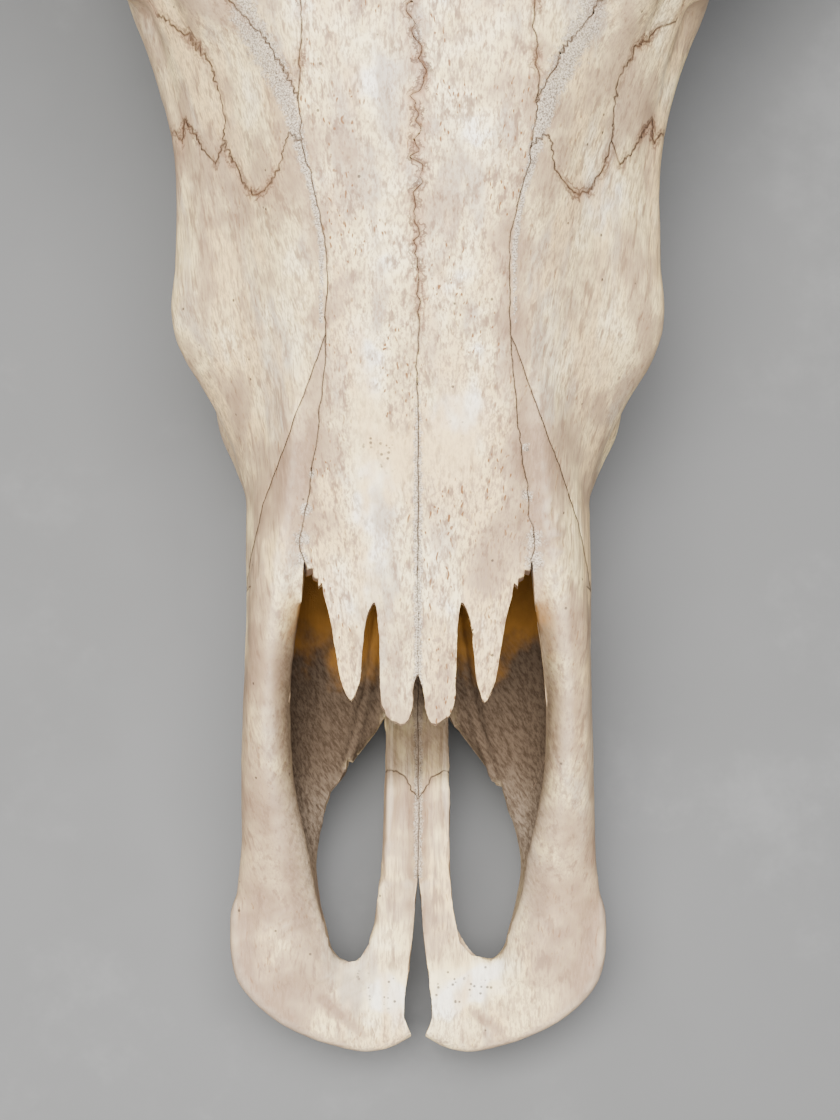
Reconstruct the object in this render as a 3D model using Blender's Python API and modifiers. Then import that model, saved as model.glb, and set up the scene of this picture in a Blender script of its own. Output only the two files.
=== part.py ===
"""Skull of a domestic water buffalo with its horns, without the lower jaw, life size.

It lies on its cheek teeth and on the two spurs beside the occipital condyles. The skull is shaped
whole: masses lofted through lines that run along the head, tubes and balls are fused by a voxel
remesh and hollowed. It is then parted into its bones by thin cuts along the sutures.
Lengths are in millimetres from the front of the skull. Y runs backward, Z up, X to the animal's left.
"""

import math

import bmesh
import bpy
import numpy as np
from mathutils import Euler, Matrix, Vector

MM = 0.001
GAP = 0.3
VOXEL = 2.0
SKULL_TRIANGLES = 8600
LOOP_POINTS = 44
SIDES = {"left": 1, "right": -1}

# Lines that run along the head, as (y, x, z), from the top of the head round to the palate.
CROWN = ((150, 0, 112), (173, 0, 121.5), (200, 0, 131.5), (231, 0, 145), (260, 0, 156), (287, 0, 167),
         (316, 0, 177), (352, 0, 189))
NASAL_EDGE = ((150, 36, 105), (173, 34.5, 115), (188, 32, 122), (214, 30, 134), (240, 29, 145),
              (277, 35, 159), (315, 38, 172), (352, 42, 183))
CHEEK_TOP = ((150, 50, 97), (200, 50, 108), (235, 54, 119), (270, 57, 129), (300, 62, 140),
             (330, 70, 150), (352, 78, 160))
FACIAL_CREST = ((150, 55, 84), (190, 57.5, 88), (205, 63.5, 86), (218, 71, 84), (228, 77.5, 85),
                (240, 81.2, 87), (263, 79, 94), (292, 77, 105), (318, 81, 117), (352, 94, 128))
UNDER_CREST = ((150, 54, 60), (190, 57, 60), (218, 66, 58), (240, 70, 64), (263, 69, 68),
               (292, 68, 74), (318, 66, 84), (352, 62, 92))
TOOTH_BULGE = ((150, 50, 38), (180, 56, 36), (200, 62.5, 35), (212, 68.5, 40), (235, 71, 42),
               (260, 71.5, 43), (290, 69, 45), (310, 62, 54), (330, 55, 66), (352, 48, 76))
SOCKET_OUTER = ((150, 44, 23), (180, 52, 20), (200, 57, 20), (235, 65, 20), (290, 67, 21),
                (306, 60, 30), (330, 44, 50), (352, 38, 64))
SOCKET_INNER = ((150, 32, 25), (180, 31.5, 21), (200, 33, 20), (235, 38, 20), (290, 42, 22),
                (306, 41, 31), (330, 30, 52), (352, 26, 66))
PALATE = ((150, 0, 36), (200, 0, 33), (250, 0, 33), (290, 0, 36), (306, 0, 42), (330, 0, 58),
          (352, 0, 70))
PALATE_SIDE = ((150, 22, 34), (200, 27, 30), (250, 30, 30), (290, 34, 33), (306, 31, 40),
               (330, 22, 56), (352, 18, 69))
FACE_LINES = (CROWN, NASAL_EDGE, CHEEK_TOP, FACIAL_CREST, UNDER_CREST, TOOTH_BULGE, SOCKET_OUTER,
              SOCKET_INNER, PALATE_SIDE, PALATE)

# The nose cavity inside the face, open in front.
CAVITY_ROOF = ((90, 0, 88), (150, 0, 104.5), (200, 0, 124), (262, 0, 147))
CAVITY_SHOULDER = ((90, 30, 84), (150, 30, 100), (200, 27, 118), (262, 22, 140))
CAVITY_WALL = ((90, 43, 66), (150, 45, 70), (200, 47, 78), (262, 40, 95))
CAVITY_FOOT = ((90, 35, 46), (150, 36, 45), (200, 36, 46), (262, 26, 56))
CAVITY_FLOOR = ((90, 0, 42.5), (150, 0, 42.5), (200, 0, 43), (262, 0, 54))
CAVITY_LINES = (CAVITY_ROOF, CAVITY_SHOULDER, CAVITY_WALL, CAVITY_FOOT, CAVITY_FLOOR)

# One side wall of the muzzle, its bar on top and the palate's shelf at its foot.
RIM_INNER = ((26, 27, 40), (40, 29.5, 43), (54, 34, 49), (68, 36.5, 57), (85, 40.5, 68),
             (116, 42.5, 85), (140, 40, 99), (160, 36.5, 109), (180, 33, 113), (214, 30, 126))
BAR_TOP = ((26, 40, 42), (40, 42, 46), (54, 43, 51), (68, 44.5, 61), (85, 47, 72), (116, 48, 89),
           (140, 45.5, 102), (160, 42, 111), (180, 38, 117), (214, 33, 131))
BAR_SHOULDER = ((26, 54, 40), (40, 55, 44), (54, 54, 49), (68, 53.5, 58), (85, 54, 68),
                (116, 53.5, 84), (140, 51.5, 97), (160, 49.5, 104), (180, 48, 107), (214, 46, 118))
WALL_WIDEST = ((26, 60, 35), (40, 62.5, 38), (54, 61, 42), (68, 59, 50), (85, 58.3, 58),
               (116, 57, 72), (140, 55.8, 82), (160, 55.5, 87), (180, 55.5, 88), (214, 52, 90))
WALL_LOW = ((26, 58, 31), (40, 60, 33), (54, 58, 35), (68, 56.5, 38), (85, 55.5, 42),
            (116, 54.5, 48), (160, 54, 54), (214, 52, 56))
MARGIN = ((26, 50, 28), (40, 51, 28.5), (54, 49.5, 28.5), (85, 48, 27), (116, 46, 26),
          (160, 46, 24), (214, 46, 26))
SHELF_UNDER = ((26, 42, 28.5), (54, 42, 29.5), (68, 41, 30.5), (85, 38, 32), (116, 36, 33),
               (160, 34, 32), (214, 34, 32))
SHELF_EDGE_UNDER = ((26, 28, 30), (40, 30, 32), (54, 33.5, 33.5), (68, 34.5, 35), (76, 33, 36),
                    (86, 29, 37), (97, 23.5, 37.5), (106, 17, 38), (114, 11, 38), (124, 3, 38),
                    (132, -2, 38), (214, -2, 38))
SHELF_EDGE = ((26, 28, 34), (40, 30, 37), (54, 33.5, 38.5), (68, 34.5, 38.5), (76, 33, 39),
              (86, 29, 39.5), (97, 23.5, 40), (106, 17, 40.5), (114, 11, 41), (124, 3, 42),
              (132, -2, 42.5), (214, -2, 42.5))
SHELF_TOP = ((26, 28, 37), (54, 33.7, 42), (68, 36, 43), (85, 36, 43), (116, 34, 43.5),
             (160, 34, 45), (214, 34, 46))
WALL_INNER = ((26, 27.5, 39), (54, 34, 45.5), (68, 37.5, 49), (85, 41.5, 54), (116, 45.5, 62),
              (140, 46.5, 68), (160, 46.5, 72), (214, 46, 78))
MUZZLE_LINES = (RIM_INNER, BAR_TOP, BAR_SHOULDER, WALL_WIDEST, WALL_LOW, MARGIN, SHELF_UNDER,
                SHELF_EDGE_UNDER, SHELF_EDGE, SHELF_TOP, WALL_INNER)

# The blade at the front of one premaxilla, seen from above, and the heights of its two faces.
BLADE = ((3.2, 8.5), (7, 5.2), (16, 2.7), (27, 4.2), (41.5, 9.6), (52, 16.5), (60.3, 26.5), (62.8, 39.8),
         (61, 54), (50, 62), (40, 56), (33.5, 47), (29.5, 38), (24.5, 33), (19.5, 35.5), (15.4, 43),
         (12, 60), (2.5, 60), (2, 46), (2.6, 33), (4.2, 19), (4.5, 13))
BLADE_TOP = ((2, 35), (12, 38.5), (28, 41.5), (60, 46))
BLADE_FOOT = ((2, 27), (12, 27), (28, 28.5), (60, 31))
# The rod that runs back from the blade beside the midline.
ROD = ((44, 7.6, 40), (60, 6.6, 41), (86, 6, 41.5), (112, 5.7, 41.5), (140, 5.5, 41.5))
ROD_HALF_WIDTH = ((44, 6.6), (60, 6.3), (86, 5.6), (112, 5.1), (140, 4.8))
ROD_HALF_HEIGHT = 4.6

# The free plate of the nose, whose tips are cut to shape by the nasal region.
NOSE_TOP = ((102, 0, 97), (120, 0, 103), (142, 0, 110.5), (160, 0, 116.5), (200, 0, 131.5))
NOSE_SIDE = ((102, 30, 91), (120, 32, 97), (142, 35, 103.5), (160, 38, 108.5), (200, 31, 126.5))
NOSE_THICK = ((102, 3.4), (142, 5), (200, 7))

# The skull's vault behind the face.
VAULT_CROWN = ((298, 0, 164), (330, 0, 181), (352, 0, 189.5), (380, 0, 199), (405, 0, 205),
               (425, 0, 207.5), (442, 0, 206), (458, 0, 199), (472, 0, 187), (484, 0, 170), (493, 0, 150))
VAULT_BROW = ((298, 40, 158), (330, 48, 174), (352, 54, 183), (380, 60, 189), (405, 60, 194),
              (425, 58, 197), (442, 56, 194), (458, 53, 186), (472, 50, 174), (484, 45, 160), (493, 36, 142))
VAULT_EDGE = ((298, 58, 134), (330, 76, 153), (345, 88, 160), (362, 100, 165), (382, 106, 167),
              (398, 106, 163), (412, 97, 163), (425, 88, 168), (442, 86, 172), (458, 83, 162), (472, 79, 148),
              (484, 72, 138), (493, 56, 124))
VAULT_EAVE = ((298, 64, 118), (330, 76, 140), (345, 86, 148), (362, 96, 152), (382, 101, 153),
              (398, 100, 149), (412, 90, 147), (425, 79, 146), (442, 74, 140), (458, 75, 132), (472, 82, 122),
              (484, 80, 112), (493, 60, 102))
VAULT_WALL = ((330, 58, 124), (345, 47, 124), (362, 42, 124), (382, 42, 124), (398, 46, 124),
              (412, 52, 124), (425, 57, 122), (442, 60, 116), (458, 64, 110), (472, 76, 100),
              (484, 74, 92), (493, 54, 84))
VAULT_LOW = ((330, 44, 96), (362, 30, 98), (382, 29, 97), (412, 38, 92), (442, 49, 84),
             (472, 57, 76), (493, 46, 68))
VAULT_BASE_SIDE = ((330, 20, 82), (362, 17, 84), (412, 19, 76), (442, 21, 68), (472, 24, 62),
                   (493, 26, 58))
VAULT_BASE = ((330, 0, 80), (362, 0, 84), (412, 0, 74), (442, 0, 66), (472, 0, 61), (493, 0, 62))
VAULT_LINES = (VAULT_CROWN, VAULT_BROW, VAULT_EDGE, VAULT_EAVE, VAULT_WALL, VAULT_LOW,
               VAULT_BASE_SIDE, VAULT_BASE)

# The ring of bone round one eye socket, and how far the socket is scooped into the head.
ORBIT_RING = ((91, 343, 134), (96, 351, 155), (104, 371, 166), (109, 392, 159), (108.5, 402, 138),
              (105, 394, 113), (100, 371, 103), (94, 350, 111))
ORBIT_RING_RADIUS = 6.2
ORBIT_CENTRE, ORBIT_RADII, ORBIT_TURN = (88, 372, 134), (46, 27, 27), (0, -8, 10)

# The cheek bone, from the bump on the cheek under the eye to the hinge of the jaw: y, x, z, half width, half height.
CHEEK_BONE = ((236, 77, 86, 4, 6), (262, 74, 93, 6, 8), (292, 72.5, 101, 7.5, 12), (322, 79, 100, 8, 16),
              (350, 90, 97, 7.5, 14), (376, 97, 96, 7, 11), (402, 101, 101, 5.5, 9),
              (426, 100, 104, 5, 8), (448, 95, 103, 6, 8), (468, 84, 100, 8, 9))
CHEEK_BONE_FOOT = ((262, 65, 72, 4, 5), (292, 70, 79, 6, 10), (322, 74, 79, 7, 12), (350, 76, 84, 7, 11),
                   (376, 84, 90, 5, 7))

# Balls of bone at the base of the skull: centre, radii, turn in degrees.
JAW_HINGE = ((80, 446, 92), (22, 16, 8), (0, 0, 0))
EAR_BASE = ((75, 468, 88), (15, 13, 19), (0, 0, 0))
BULLA = ((44, 448, 62), (12, 19, 17), (14, 0, 0))
CONDYLE = ((27, 494, 57), (16, 18, 25), (20, 26, 0))
OCCIPUT = ((0, 478, 114), (76, 18, 52), (0, 0, 0))
NECK_BUMP = ((0, 490, 152), (11, 9, 15), (0, 0, 0))
TUBERCLE = ((13, 456, 60), (9, 16, 9), (0, 0, 0))
CHEEK_TUBER = ((50, 316, 60), (12, 18, 18), (0, 0, 0))
# Spurs beside the condyles that reach the floor, and the pterygoid plates: y, x, z, half width, half height.
SPUR = ((482, 60, 84, 17, 9), (483, 57, 58, 15, 8.5), (482, 54, 34, 11.5, 7), (479, 51, 12, 8, 6),
        (477, 50, -8, 7, 5.5))
PTERYGOID = ((300, 27, 58, 5, 15), (326, 23, 68, 4, 17), (356, 20, 76, 3, 17), (386, 17, 82, 2.5, 13),
             (398, 16, 86, 2.5, 8))
HORN_CORE = ((425, 45, 177, 35, 26), (446, 80, 172, 38, 30), (452, 112, 170, 38, 31))
# The crest round the back of the head where the neck's muscles hold, and the tube of the ear.
NECK_CREST = ((466, 0, 193, 6, 7), (467, 32, 188, 6, 7), (468, 60, 170, 6, 7), (470, 77, 146, 6, 7),
              (470, 81, 120, 7, 7), (472, 76, 98, 8, 7))
EAR_TUBE = ((452, 60, 84, 9, 9), (458, 76, 94, 8, 8), (462, 88, 101, 7.5, 7.5))
VOMER = ((112, 0, 42, 3, 4), (150, 0, 46, 3, 8), (200, 0, 52, 3, 12), (262, 0, 66, 4, 20))
CHOANA = ((302, 0, 75, 15, 12), (322, 0, 74, 16, 13), (342, 0, 68, 16, 15), (366, 0, 58, 16, 24))
FORAMEN_MAGNUM = ((452, 0, 90, 14, 12), (480, 0, 84, 18, 17), (520, 0, 76, 21, 21))
INFRAORBITAL_HOLE = ((66, 172, 46), (12, 11, 5), (0, 0, 35))

# Outlines of the bones seen from above, as (x, y), in order round each bone.
NASAL_OUTLINE = ((0.15, 122), (1.4, 118), (2.4, 109), (4, 106), (7.5, 107), (10.5, 110), (11.8, 116),
                 (12.2, 126), (12.6, 136), (14, 143), (15.6, 140), (17.6, 128), (19, 117.5),
                 (21.3, 113), (23.6, 117), (26.4, 130), (28.8, 142), (31, 149.5), (33.5, 152.5),
                 (36, 156.5), (37, 161), (35.2, 172), (32.4, 188), (30, 205), (28.6, 222), (28.2, 240),
                 (30, 257), (34, 272), (36.4, 290), (35.4, 304), (35, 318), (32, 330), (24, 340),
                 (14, 346), (6, 343), (0.15, 347))
NOSE_OPENING = ((-1, 90), (42.2, 90), (41.6, 116), (39.6, 131), (37.2, 145), (36.2, 156.4), (33, 153),
                (-1, 152))
LACRIMAL_OUTLINE = ((34, 276), (37, 290), (42, 300), (47.5, 309.5), (56, 320), (66, 333), (76, 350),
                    (118, 352), (112, 338), (90, 334), (79, 326), (67, 312), (61.8, 298), (61, 286),
                    (58, 278), (49.5, 267.5), (43, 271.5), (39.5, 280.5))
# The narrow wedge that the premaxilla sends back between the nasal and the maxilla, seen from above.
PREMAXILLA_WEDGE = ((0.15, 151), (56.5, 151), (55.4, 155), (53.6, 161.5), (49.5, 175.5), (44.3, 187),
                    (39, 198.5), (34.1, 210), (29.8, 220), (27, 226), (0.15, 226))
# Outlines of the bones seen from the side, as (y, z).
PREMAXILLA_SIDE = ((152, 150), (152, 93), (120, 68), (82, 40), (64, 20), (-10, 20), (-10, 150))
ZYGOMATIC_SIDE = ((290, 124), (296, 104), (304, 88), (316, 72), (340, 56), (390, 70), (432, 88),
                  (444, 122), (424, 130), (402, 137), (360, 137), (335, 137), (318, 150), (302, 137))
MAXILLA_SIDE = ((40, -5), (40, 128), (160, 128), (268, 180), (286, 168), (300, 141), (316, 120),
                (330, 104), (338, 70), (338, -5))
FRONTAL_SIDE = ((268, 230), (268, 150), (300, 142), (344, 138), (352, 128), (404, 128), (420, 134),
                (440, 136), (462, 150), (476, 200), (476, 230))
HORN_CORE_SIDE = ((406, 129), (446, 134), (474, 139), (520, 141), (520, 229), (406, 229))
PALATINE_SIDE = ((290, 20), (290, 88), (330, 88), (404, 86), (404, 20))
TEMPORAL_SIDE = ((414, 64), (414, 124), (440, 124), (470, 126), (478, 108), (474, 64))
ZYGOMATIC_INNER_X, TEMPORAL_INNER_X, PALATINE_OUTER_X, HORN_CORE_INNER_X = 62, 60, 40, 76
PREMAXILLA_ROD_BOX = ((0.15, 15.5), (20, 97), (20, 60))
NASAL_DEPTH, LACRIMAL_DEPTH, WEDGE_DEPTH = 17, 22, 17

# Cheek teeth from front to back: length along the row, width, and where the row runs.
TEETH = ((18, 17), (19, 20), (19, 23), (25, 25), (28, 26), (30, 24))
TOOTH_ROW = ((150, 40, 0), (200, 46.5, 0), (250, 54, 0), (300, 57, 0))
TOOTH_ROW_START = 151
TOOTH_ROOT_Z, TOOTH_NECK_Z, CUSP_Z, VALLEY_Z = 34, 14, 0, 3.5
TOOTH_SPACING = 0.8

# The centre line of one horn, as (x, y, z), with its two half sizes and their growth rings.
HORN = ((112, 452, 170), (155, 460, 166), (215, 480, 161), (283, 515, 157), (343, 565, 157),
        (386, 628, 164), (405, 696, 177), (401, 758, 195))
HORN_HALF_DEPTH = ((0, 42), (0.12, 41), (0.3, 36), (0.5, 28.5), (0.7, 20), (0.88, 11), (1, 2.2))
HORN_HALF_HEIGHT = ((0, 34.5), (0.12, 33), (0.3, 28), (0.5, 22), (0.7, 16), (0.88, 9), (1, 2))
HORN_RINGS, HORN_SIDES = 27, 14
WRINKLES, WRINKLE_DEPTH = 7, 0.05

MATERIALS = {
    "bone": ((0.80, 0.73, 0.62), 0.62),
    "thin_bone": ((0.76, 0.68, 0.56), 0.66),
    "horn": ((0.085, 0.075, 0.068), 0.45),
}


def clear_scene():
    for obj in list(bpy.data.objects):
        bpy.data.objects.remove(obj)


def collection(name, hidden=False):
    made = bpy.data.collections.new(name)
    bpy.context.scene.collection.children.link(made)
    made.hide_render = hidden
    return made


def material(name):
    colour, roughness = MATERIALS[name]
    made = bpy.data.materials.new(name)
    made.use_nodes = True
    shader = made.node_tree.nodes["Principled BSDF"]
    shader.inputs["Base Color"].default_value = (*colour, 1)
    shader.inputs["Roughness"].default_value = roughness
    shader.inputs["Metallic"].default_value = 0
    return made


def along(knots, at):
    """Values of a smooth curve through knots, each (position, value, ...), at the positions asked for."""
    knots = np.array(knots, float)
    at = np.clip(at, knots[0, 0], knots[-1, 0])
    slopes = np.gradient(knots[:, 1:], knots[:, 0], axis=0)
    span = np.clip(np.searchsorted(knots[:, 0], at, side="right") - 1, 0, len(knots) - 2)
    width = knots[span + 1, 0] - knots[span, 0]
    t = ((at - knots[span, 0]) / width)[:, None]
    start, end = knots[span, 1:], knots[span + 1, 1:]
    rise, fall = slopes[span] * width[:, None], slopes[span + 1] * width[:, None]
    return ((2 * t**3 - 3 * t**2 + 1) * start + (t**3 - 2 * t**2 + t) * rise
            + (3 * t**2 - 2 * t**3) * end + (t**3 - t**2) * fall)


def closed_curve(points, count):
    """A smooth closed curve of count points through the given ones."""
    points = np.array(points, float)
    knots = np.concatenate([points[-2:], points, points[:3]])
    steps = np.linalg.norm(np.diff(knots, axis=0), axis=1)
    place = np.concatenate([[0], np.cumsum(np.maximum(steps, 1e-6))])
    at = np.linspace(place[2], place[2 + len(points)], count, endpoint=False)
    return along(np.column_stack([place, knots]), at)


def mesh_object(name, points, faces, home):
    mesh = bpy.data.meshes.new(name)
    mesh.from_pydata([tuple(p) for p in np.array(points) * MM], [], faces)
    made = bmesh.new()
    made.from_mesh(mesh)
    bmesh.ops.recalc_face_normals(made, faces=made.faces)
    bmesh.ops.triangulate(made, faces=[f for f in made.faces if len(f.verts) > 4])
    made.to_mesh(mesh)
    made.free()
    obj = bpy.data.objects.new(name, mesh)
    home.objects.link(obj)
    return obj


def loft(name, rings, home):
    """A closed skin over rings of equal count, with a flat cap at each end."""
    rings = np.array(rings)
    count, around = rings.shape[:2]
    faces = [
        (i * around + j, i * around + (j + 1) % around, (i + 1) * around + (j + 1) % around, (i + 1) * around + j)
        for i in range(count - 1)
        for j in range(around)
    ]
    faces.append(tuple(range(around)))
    faces.append(tuple(range((count - 1) * around, count * around)))
    return mesh_object(name, rings.reshape(-1, 3), faces, home)


def loft_through(name, lines, home, step, mirrored, side=1):
    """A loft whose section at each y is a smooth loop through the lines, closed by its mirror image if asked."""
    first, last = lines[0][0][0], lines[0][-1][0]
    ys = np.linspace(first, last, round((last - first) / step) + 1)
    values = np.array([along(line, ys) for line in lines])
    rings = []
    for i, y in enumerate(ys):
        half = values[:, i]
        loop = np.concatenate([half, half[-2:0:-1] * (-1, 1)]) if mirrored else half * (side, 1)
        curve = closed_curve(loop, LOOP_POINTS)
        rings.append(np.column_stack([curve[:, 0], np.full(len(curve), y), curve[:, 1]]))
    return loft(name, rings, home)


def limb(name, stations, home, side=1, sides=16, steps=4):
    """A tube of oval section through stations (y, x, z, half width, half height)."""
    stations = np.array(stations, float)
    places = np.arange(len(stations))
    fine = along(np.column_stack([places, stations]), np.linspace(0, places[-1], places[-1] * steps + 1))
    path = fine[:, [1, 0, 2]] * (side, 1, 1)
    tangent = np.gradient(path, axis=0)
    tangent /= np.linalg.norm(tangent, axis=1)[:, None]
    mostly_up = np.abs(tangent[:, 2]).mean() > 0.7
    guide = np.array((0.0, 1.0, 0.0) if mostly_up else (0.0, 0.0, 1.0))
    across = np.cross(tangent, guide)
    across /= np.linalg.norm(across, axis=1)[:, None]
    upward = np.cross(across, tangent)
    turn = np.linspace(0, 2 * math.pi, sides, endpoint=False)
    rings = (path[:, None] + across[:, None] * fine[:, None, 3:4] * np.cos(turn)[None, :, None]
             + upward[:, None] * fine[:, None, 4:5] * np.sin(turn)[None, :, None])
    return loft(name, rings, home)


def ball(name, shape, home, side=1):
    centre, radii, turn = shape
    bpy.ops.mesh.primitive_uv_sphere_add(segments=28, ring_count=16, radius=1)
    obj = bpy.context.object
    obj.name = name
    angles = Euler([math.radians(a) for a in (turn[0], turn[1] * side, turn[2] * side)])
    place = Matrix.Translation(Vector((centre[0] * side, *centre[1:])) * MM)
    obj.data.transform(place @ angles.to_matrix().to_4x4() @ Matrix.Diagonal((*(Vector(radii) * MM), 1)))
    for old in list(obj.users_collection):
        old.objects.unlink(obj)
    home.objects.link(obj)
    return obj


def ring_tube(name, centres, radius, home, side=1, around=12):
    """A closed tube of round section through the centres."""
    path = closed_curve(np.array(centres, float) * (side, 1, 1), 36)
    tangent = np.roll(path, -1, axis=0) - np.roll(path, 1, axis=0)
    tangent /= np.linalg.norm(tangent, axis=1)[:, None]
    outward = path - path.mean(axis=0)
    outward -= tangent * (outward * tangent).sum(axis=1)[:, None]
    outward /= np.linalg.norm(outward, axis=1)[:, None]
    third = np.cross(tangent, outward)
    turn = np.linspace(0, 2 * math.pi, around, endpoint=False)
    rings = path[:, None] + radius * (outward[:, None] * np.cos(turn)[None, :, None]
                                      + third[:, None] * np.sin(turn)[None, :, None])
    count = len(path)
    faces = [
        (i * around + j, i * around + (j + 1) % around,
         (i + 1) % count * around + (j + 1) % around, (i + 1) % count * around + j)
        for i in range(count)
        for j in range(around)
    ]
    return mesh_object(name, rings.reshape(-1, 3), faces, home)


def plate(name, outline, top, foot, home, side=1):
    """A closed plate of the outline seen from above, between two heights that change along y."""
    outline = np.array(outline, float)
    high = along(top, outline[:, 1])
    low = along(foot, outline[:, 1])
    plan = outline * (side, 1)
    points = np.concatenate([np.column_stack([plan, high]), np.column_stack([plan, low])])
    count = len(outline)
    faces = [(i, (i + 1) % count, (i + 1) % count + count, i + count) for i in range(count)]
    faces += [tuple(range(count)), tuple(range(count, 2 * count))]
    return mesh_object(name, points, faces, home)


def nose_plate(name, home):
    """The nose's thin roof, arched across, thinner towards its tips."""
    ys = np.linspace(NOSE_TOP[0][0], NOSE_TOP[-1][0], 26)
    middle, edge, thick = along(NOSE_TOP, ys), along(NOSE_SIDE, ys), along(NOSE_THICK, ys)
    share = np.linspace(-1, 1, 23)
    rings = []
    for i, y in enumerate(ys):
        x = share * edge[i, 0]
        z = middle[i, 1] - (middle[i, 1] - edge[i, 1]) * np.abs(share) ** 2.2
        upper = np.column_stack([x, np.full(len(x), y), z])
        rings.append(np.concatenate([upper, (upper - (0, 0, thick[i, 0]))[::-1]]))
    return loft(name, rings, home)


def boolean(obj, other, operation):
    """Applies one Boolean to a mesh object."""
    modifier = obj.modifiers.new(operation.lower(), "BOOLEAN")
    modifier.operation = operation
    modifier.solver = "MANIFOLD"
    modifier.object = other
    apply_modifiers(obj)


def apply_modifiers(obj):
    graph = bpy.context.evaluated_depsgraph_get()
    mesh = bpy.data.meshes.new_from_object(obj.evaluated_get(graph))
    obj.modifiers.clear()
    old = obj.data
    obj.data = mesh
    bpy.data.meshes.remove(old)


def joined(name, objects, home):
    """One mesh object made of the pieces, which are removed."""
    made = bmesh.new()
    for obj in objects:
        made.from_mesh(obj.data)
    mesh = bpy.data.meshes.new(name)
    made.to_mesh(mesh)
    made.free()
    for obj in objects:
        bpy.data.objects.remove(obj)
    whole = bpy.data.objects.new(name, mesh)
    home.objects.link(whole)
    return whole


def fuse(obj, voxel, smoothing):
    remesh = obj.modifiers.new("fuse", "REMESH")
    remesh.mode = "VOXEL"
    remesh.voxel_size = voxel * MM
    smooth = obj.modifiers.new("ease", "SMOOTH")
    smooth.factor = 0.5
    smooth.iterations = smoothing
    apply_modifiers(obj)


def thin_out(obj, triangles):
    """Fewer triangles, most of them where the surface bends."""
    decimate = obj.modifiers.new("thin", "DECIMATE")
    decimate.ratio = triangles / (2 * len(obj.data.polygons))
    apply_modifiers(obj)


def largest_body(obj):
    """Keeps the largest closed surface of the mesh and drops the scraps."""
    work = bmesh.new()
    work.from_mesh(obj.data)
    bodies, seen = [], set()
    for face in work.faces:
        if face in seen:
            continue
        body, front = [], [face]
        seen.add(face)
        while front:
            current = front.pop()
            body.append(current)
            for edge in current.edges:
                for near in edge.link_faces:
                    if near not in seen:
                        seen.add(near)
                        front.append(near)
        bodies.append(body)
    bodies.sort(key=lambda body: sum(f.calc_area() for f in body), reverse=True)
    scraps = [f for body in bodies[1:] for f in body]
    bmesh.ops.delete(work, geom=scraps, context="FACES")
    bmesh.ops.delete(work, geom=[v for v in work.verts if not v.link_faces], context="VERTS")
    work.to_mesh(obj.data)
    work.free()


def grown(outline, by):
    """The closed outline moved outward by a small distance."""
    outline = np.array(outline, float)
    before, after = outline - np.roll(outline, 1, axis=0), np.roll(outline, -1, axis=0) - outline
    before /= np.linalg.norm(before, axis=1)[:, None]
    after /= np.linalg.norm(after, axis=1)[:, None]
    area = np.cross(outline, np.roll(outline, -1, axis=0)).sum()
    normal = np.column_stack([before[:, 1] + after[:, 1], -before[:, 0] - after[:, 0]]) * np.sign(area)
    normal /= np.maximum((normal**2).sum(axis=1), 1.2)[:, None] / 2
    return outline + normal * by


def region_from_above(outline, surface, depth, grow, side, home):
    """A prism seen from above whose foot stays at a depth under the surface line."""
    outline = grown(outline, grow)
    plan = outline * (side, 1)
    foot = along(surface, outline[:, 1])[:, -1] - depth - grow
    count = len(outline)
    points = np.concatenate([np.column_stack([plan, np.full(count, 260.0)]), np.column_stack([plan, foot])])
    faces = [(i, (i + 1) % count, (i + 1) % count + count, i + count) for i in range(count)]
    faces += [tuple(range(count)), tuple(range(count, 2 * count))]
    return mesh_object("region", points, faces, home)


def region_from_side(outline, inner, outer, grow, side, home):
    """A prism seen from the side, between two distances from the midline."""
    outline = grown(outline, grow)
    count = len(outline)
    near = np.column_stack([np.full(count, side * (inner - grow)), outline])
    far = np.column_stack([np.full(count, side * (outer + grow)), outline])
    faces = [(i, (i + 1) % count, (i + 1) % count + count, i + count) for i in range(count)]
    faces += [tuple(range(count)), tuple(range(count, 2 * count))]
    return mesh_object("region", np.concatenate([near, far]), faces, home)


def rod_region(grow, side, home):
    """The box that holds the back of one premaxilla's rod."""
    (x0, x1), (y0, y1), (z0, z1) = PREMAXILLA_ROD_BOX
    outline = ((y0, z0), (y1, z0), (y1, z1), (y0, z1))
    return region_from_side(outline, x0, x1, grow, side, home)


def shape_masses(home):
    """All the pieces of bone that are fused into the skull, still apart."""
    face = loft_through("face", FACE_LINES, home, 6, mirrored=True)
    cavity = loft_through("cavity", CAVITY_LINES, home, 6, mirrored=True)
    boolean(face, cavity, "DIFFERENCE")
    bpy.data.objects.remove(cavity)
    masses = [face, nose_plate("nose", home), loft_through("vault", VAULT_LINES, home, 6, mirrored=True)]
    masses.append(ball("occiput", OCCIPUT, home))
    masses.append(ball("neck_bump", NECK_BUMP, home))
    masses.append(limb("vomer", VOMER, home))
    for side in SIDES.values():
        masses.append(loft_through("muzzle", MUZZLE_LINES, home, 4, mirrored=False, side=side))
        masses.append(plate("blade", BLADE, BLADE_TOP, BLADE_FOOT, home, side))
        rod = [(y, x, z, width, ROD_HALF_HEIGHT)
               for (y, x, z), (_, width) in zip(ROD, ROD_HALF_WIDTH)]
        masses.append(limb("rod", rod, home, side))
        masses.append(ring_tube("orbit", ORBIT_RING, ORBIT_RING_RADIUS, home, side))
        for stations in (CHEEK_BONE, CHEEK_BONE_FOOT, SPUR, PTERYGOID, HORN_CORE, NECK_CREST, EAR_TUBE):
            masses.append(limb("limb", stations, home, side))
        for shape in (JAW_HINGE, EAR_BASE, BULLA, CONDYLE, TUBERCLE, CHEEK_TUBER):
            masses.append(ball("ball", shape, home, side))
    return masses


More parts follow.
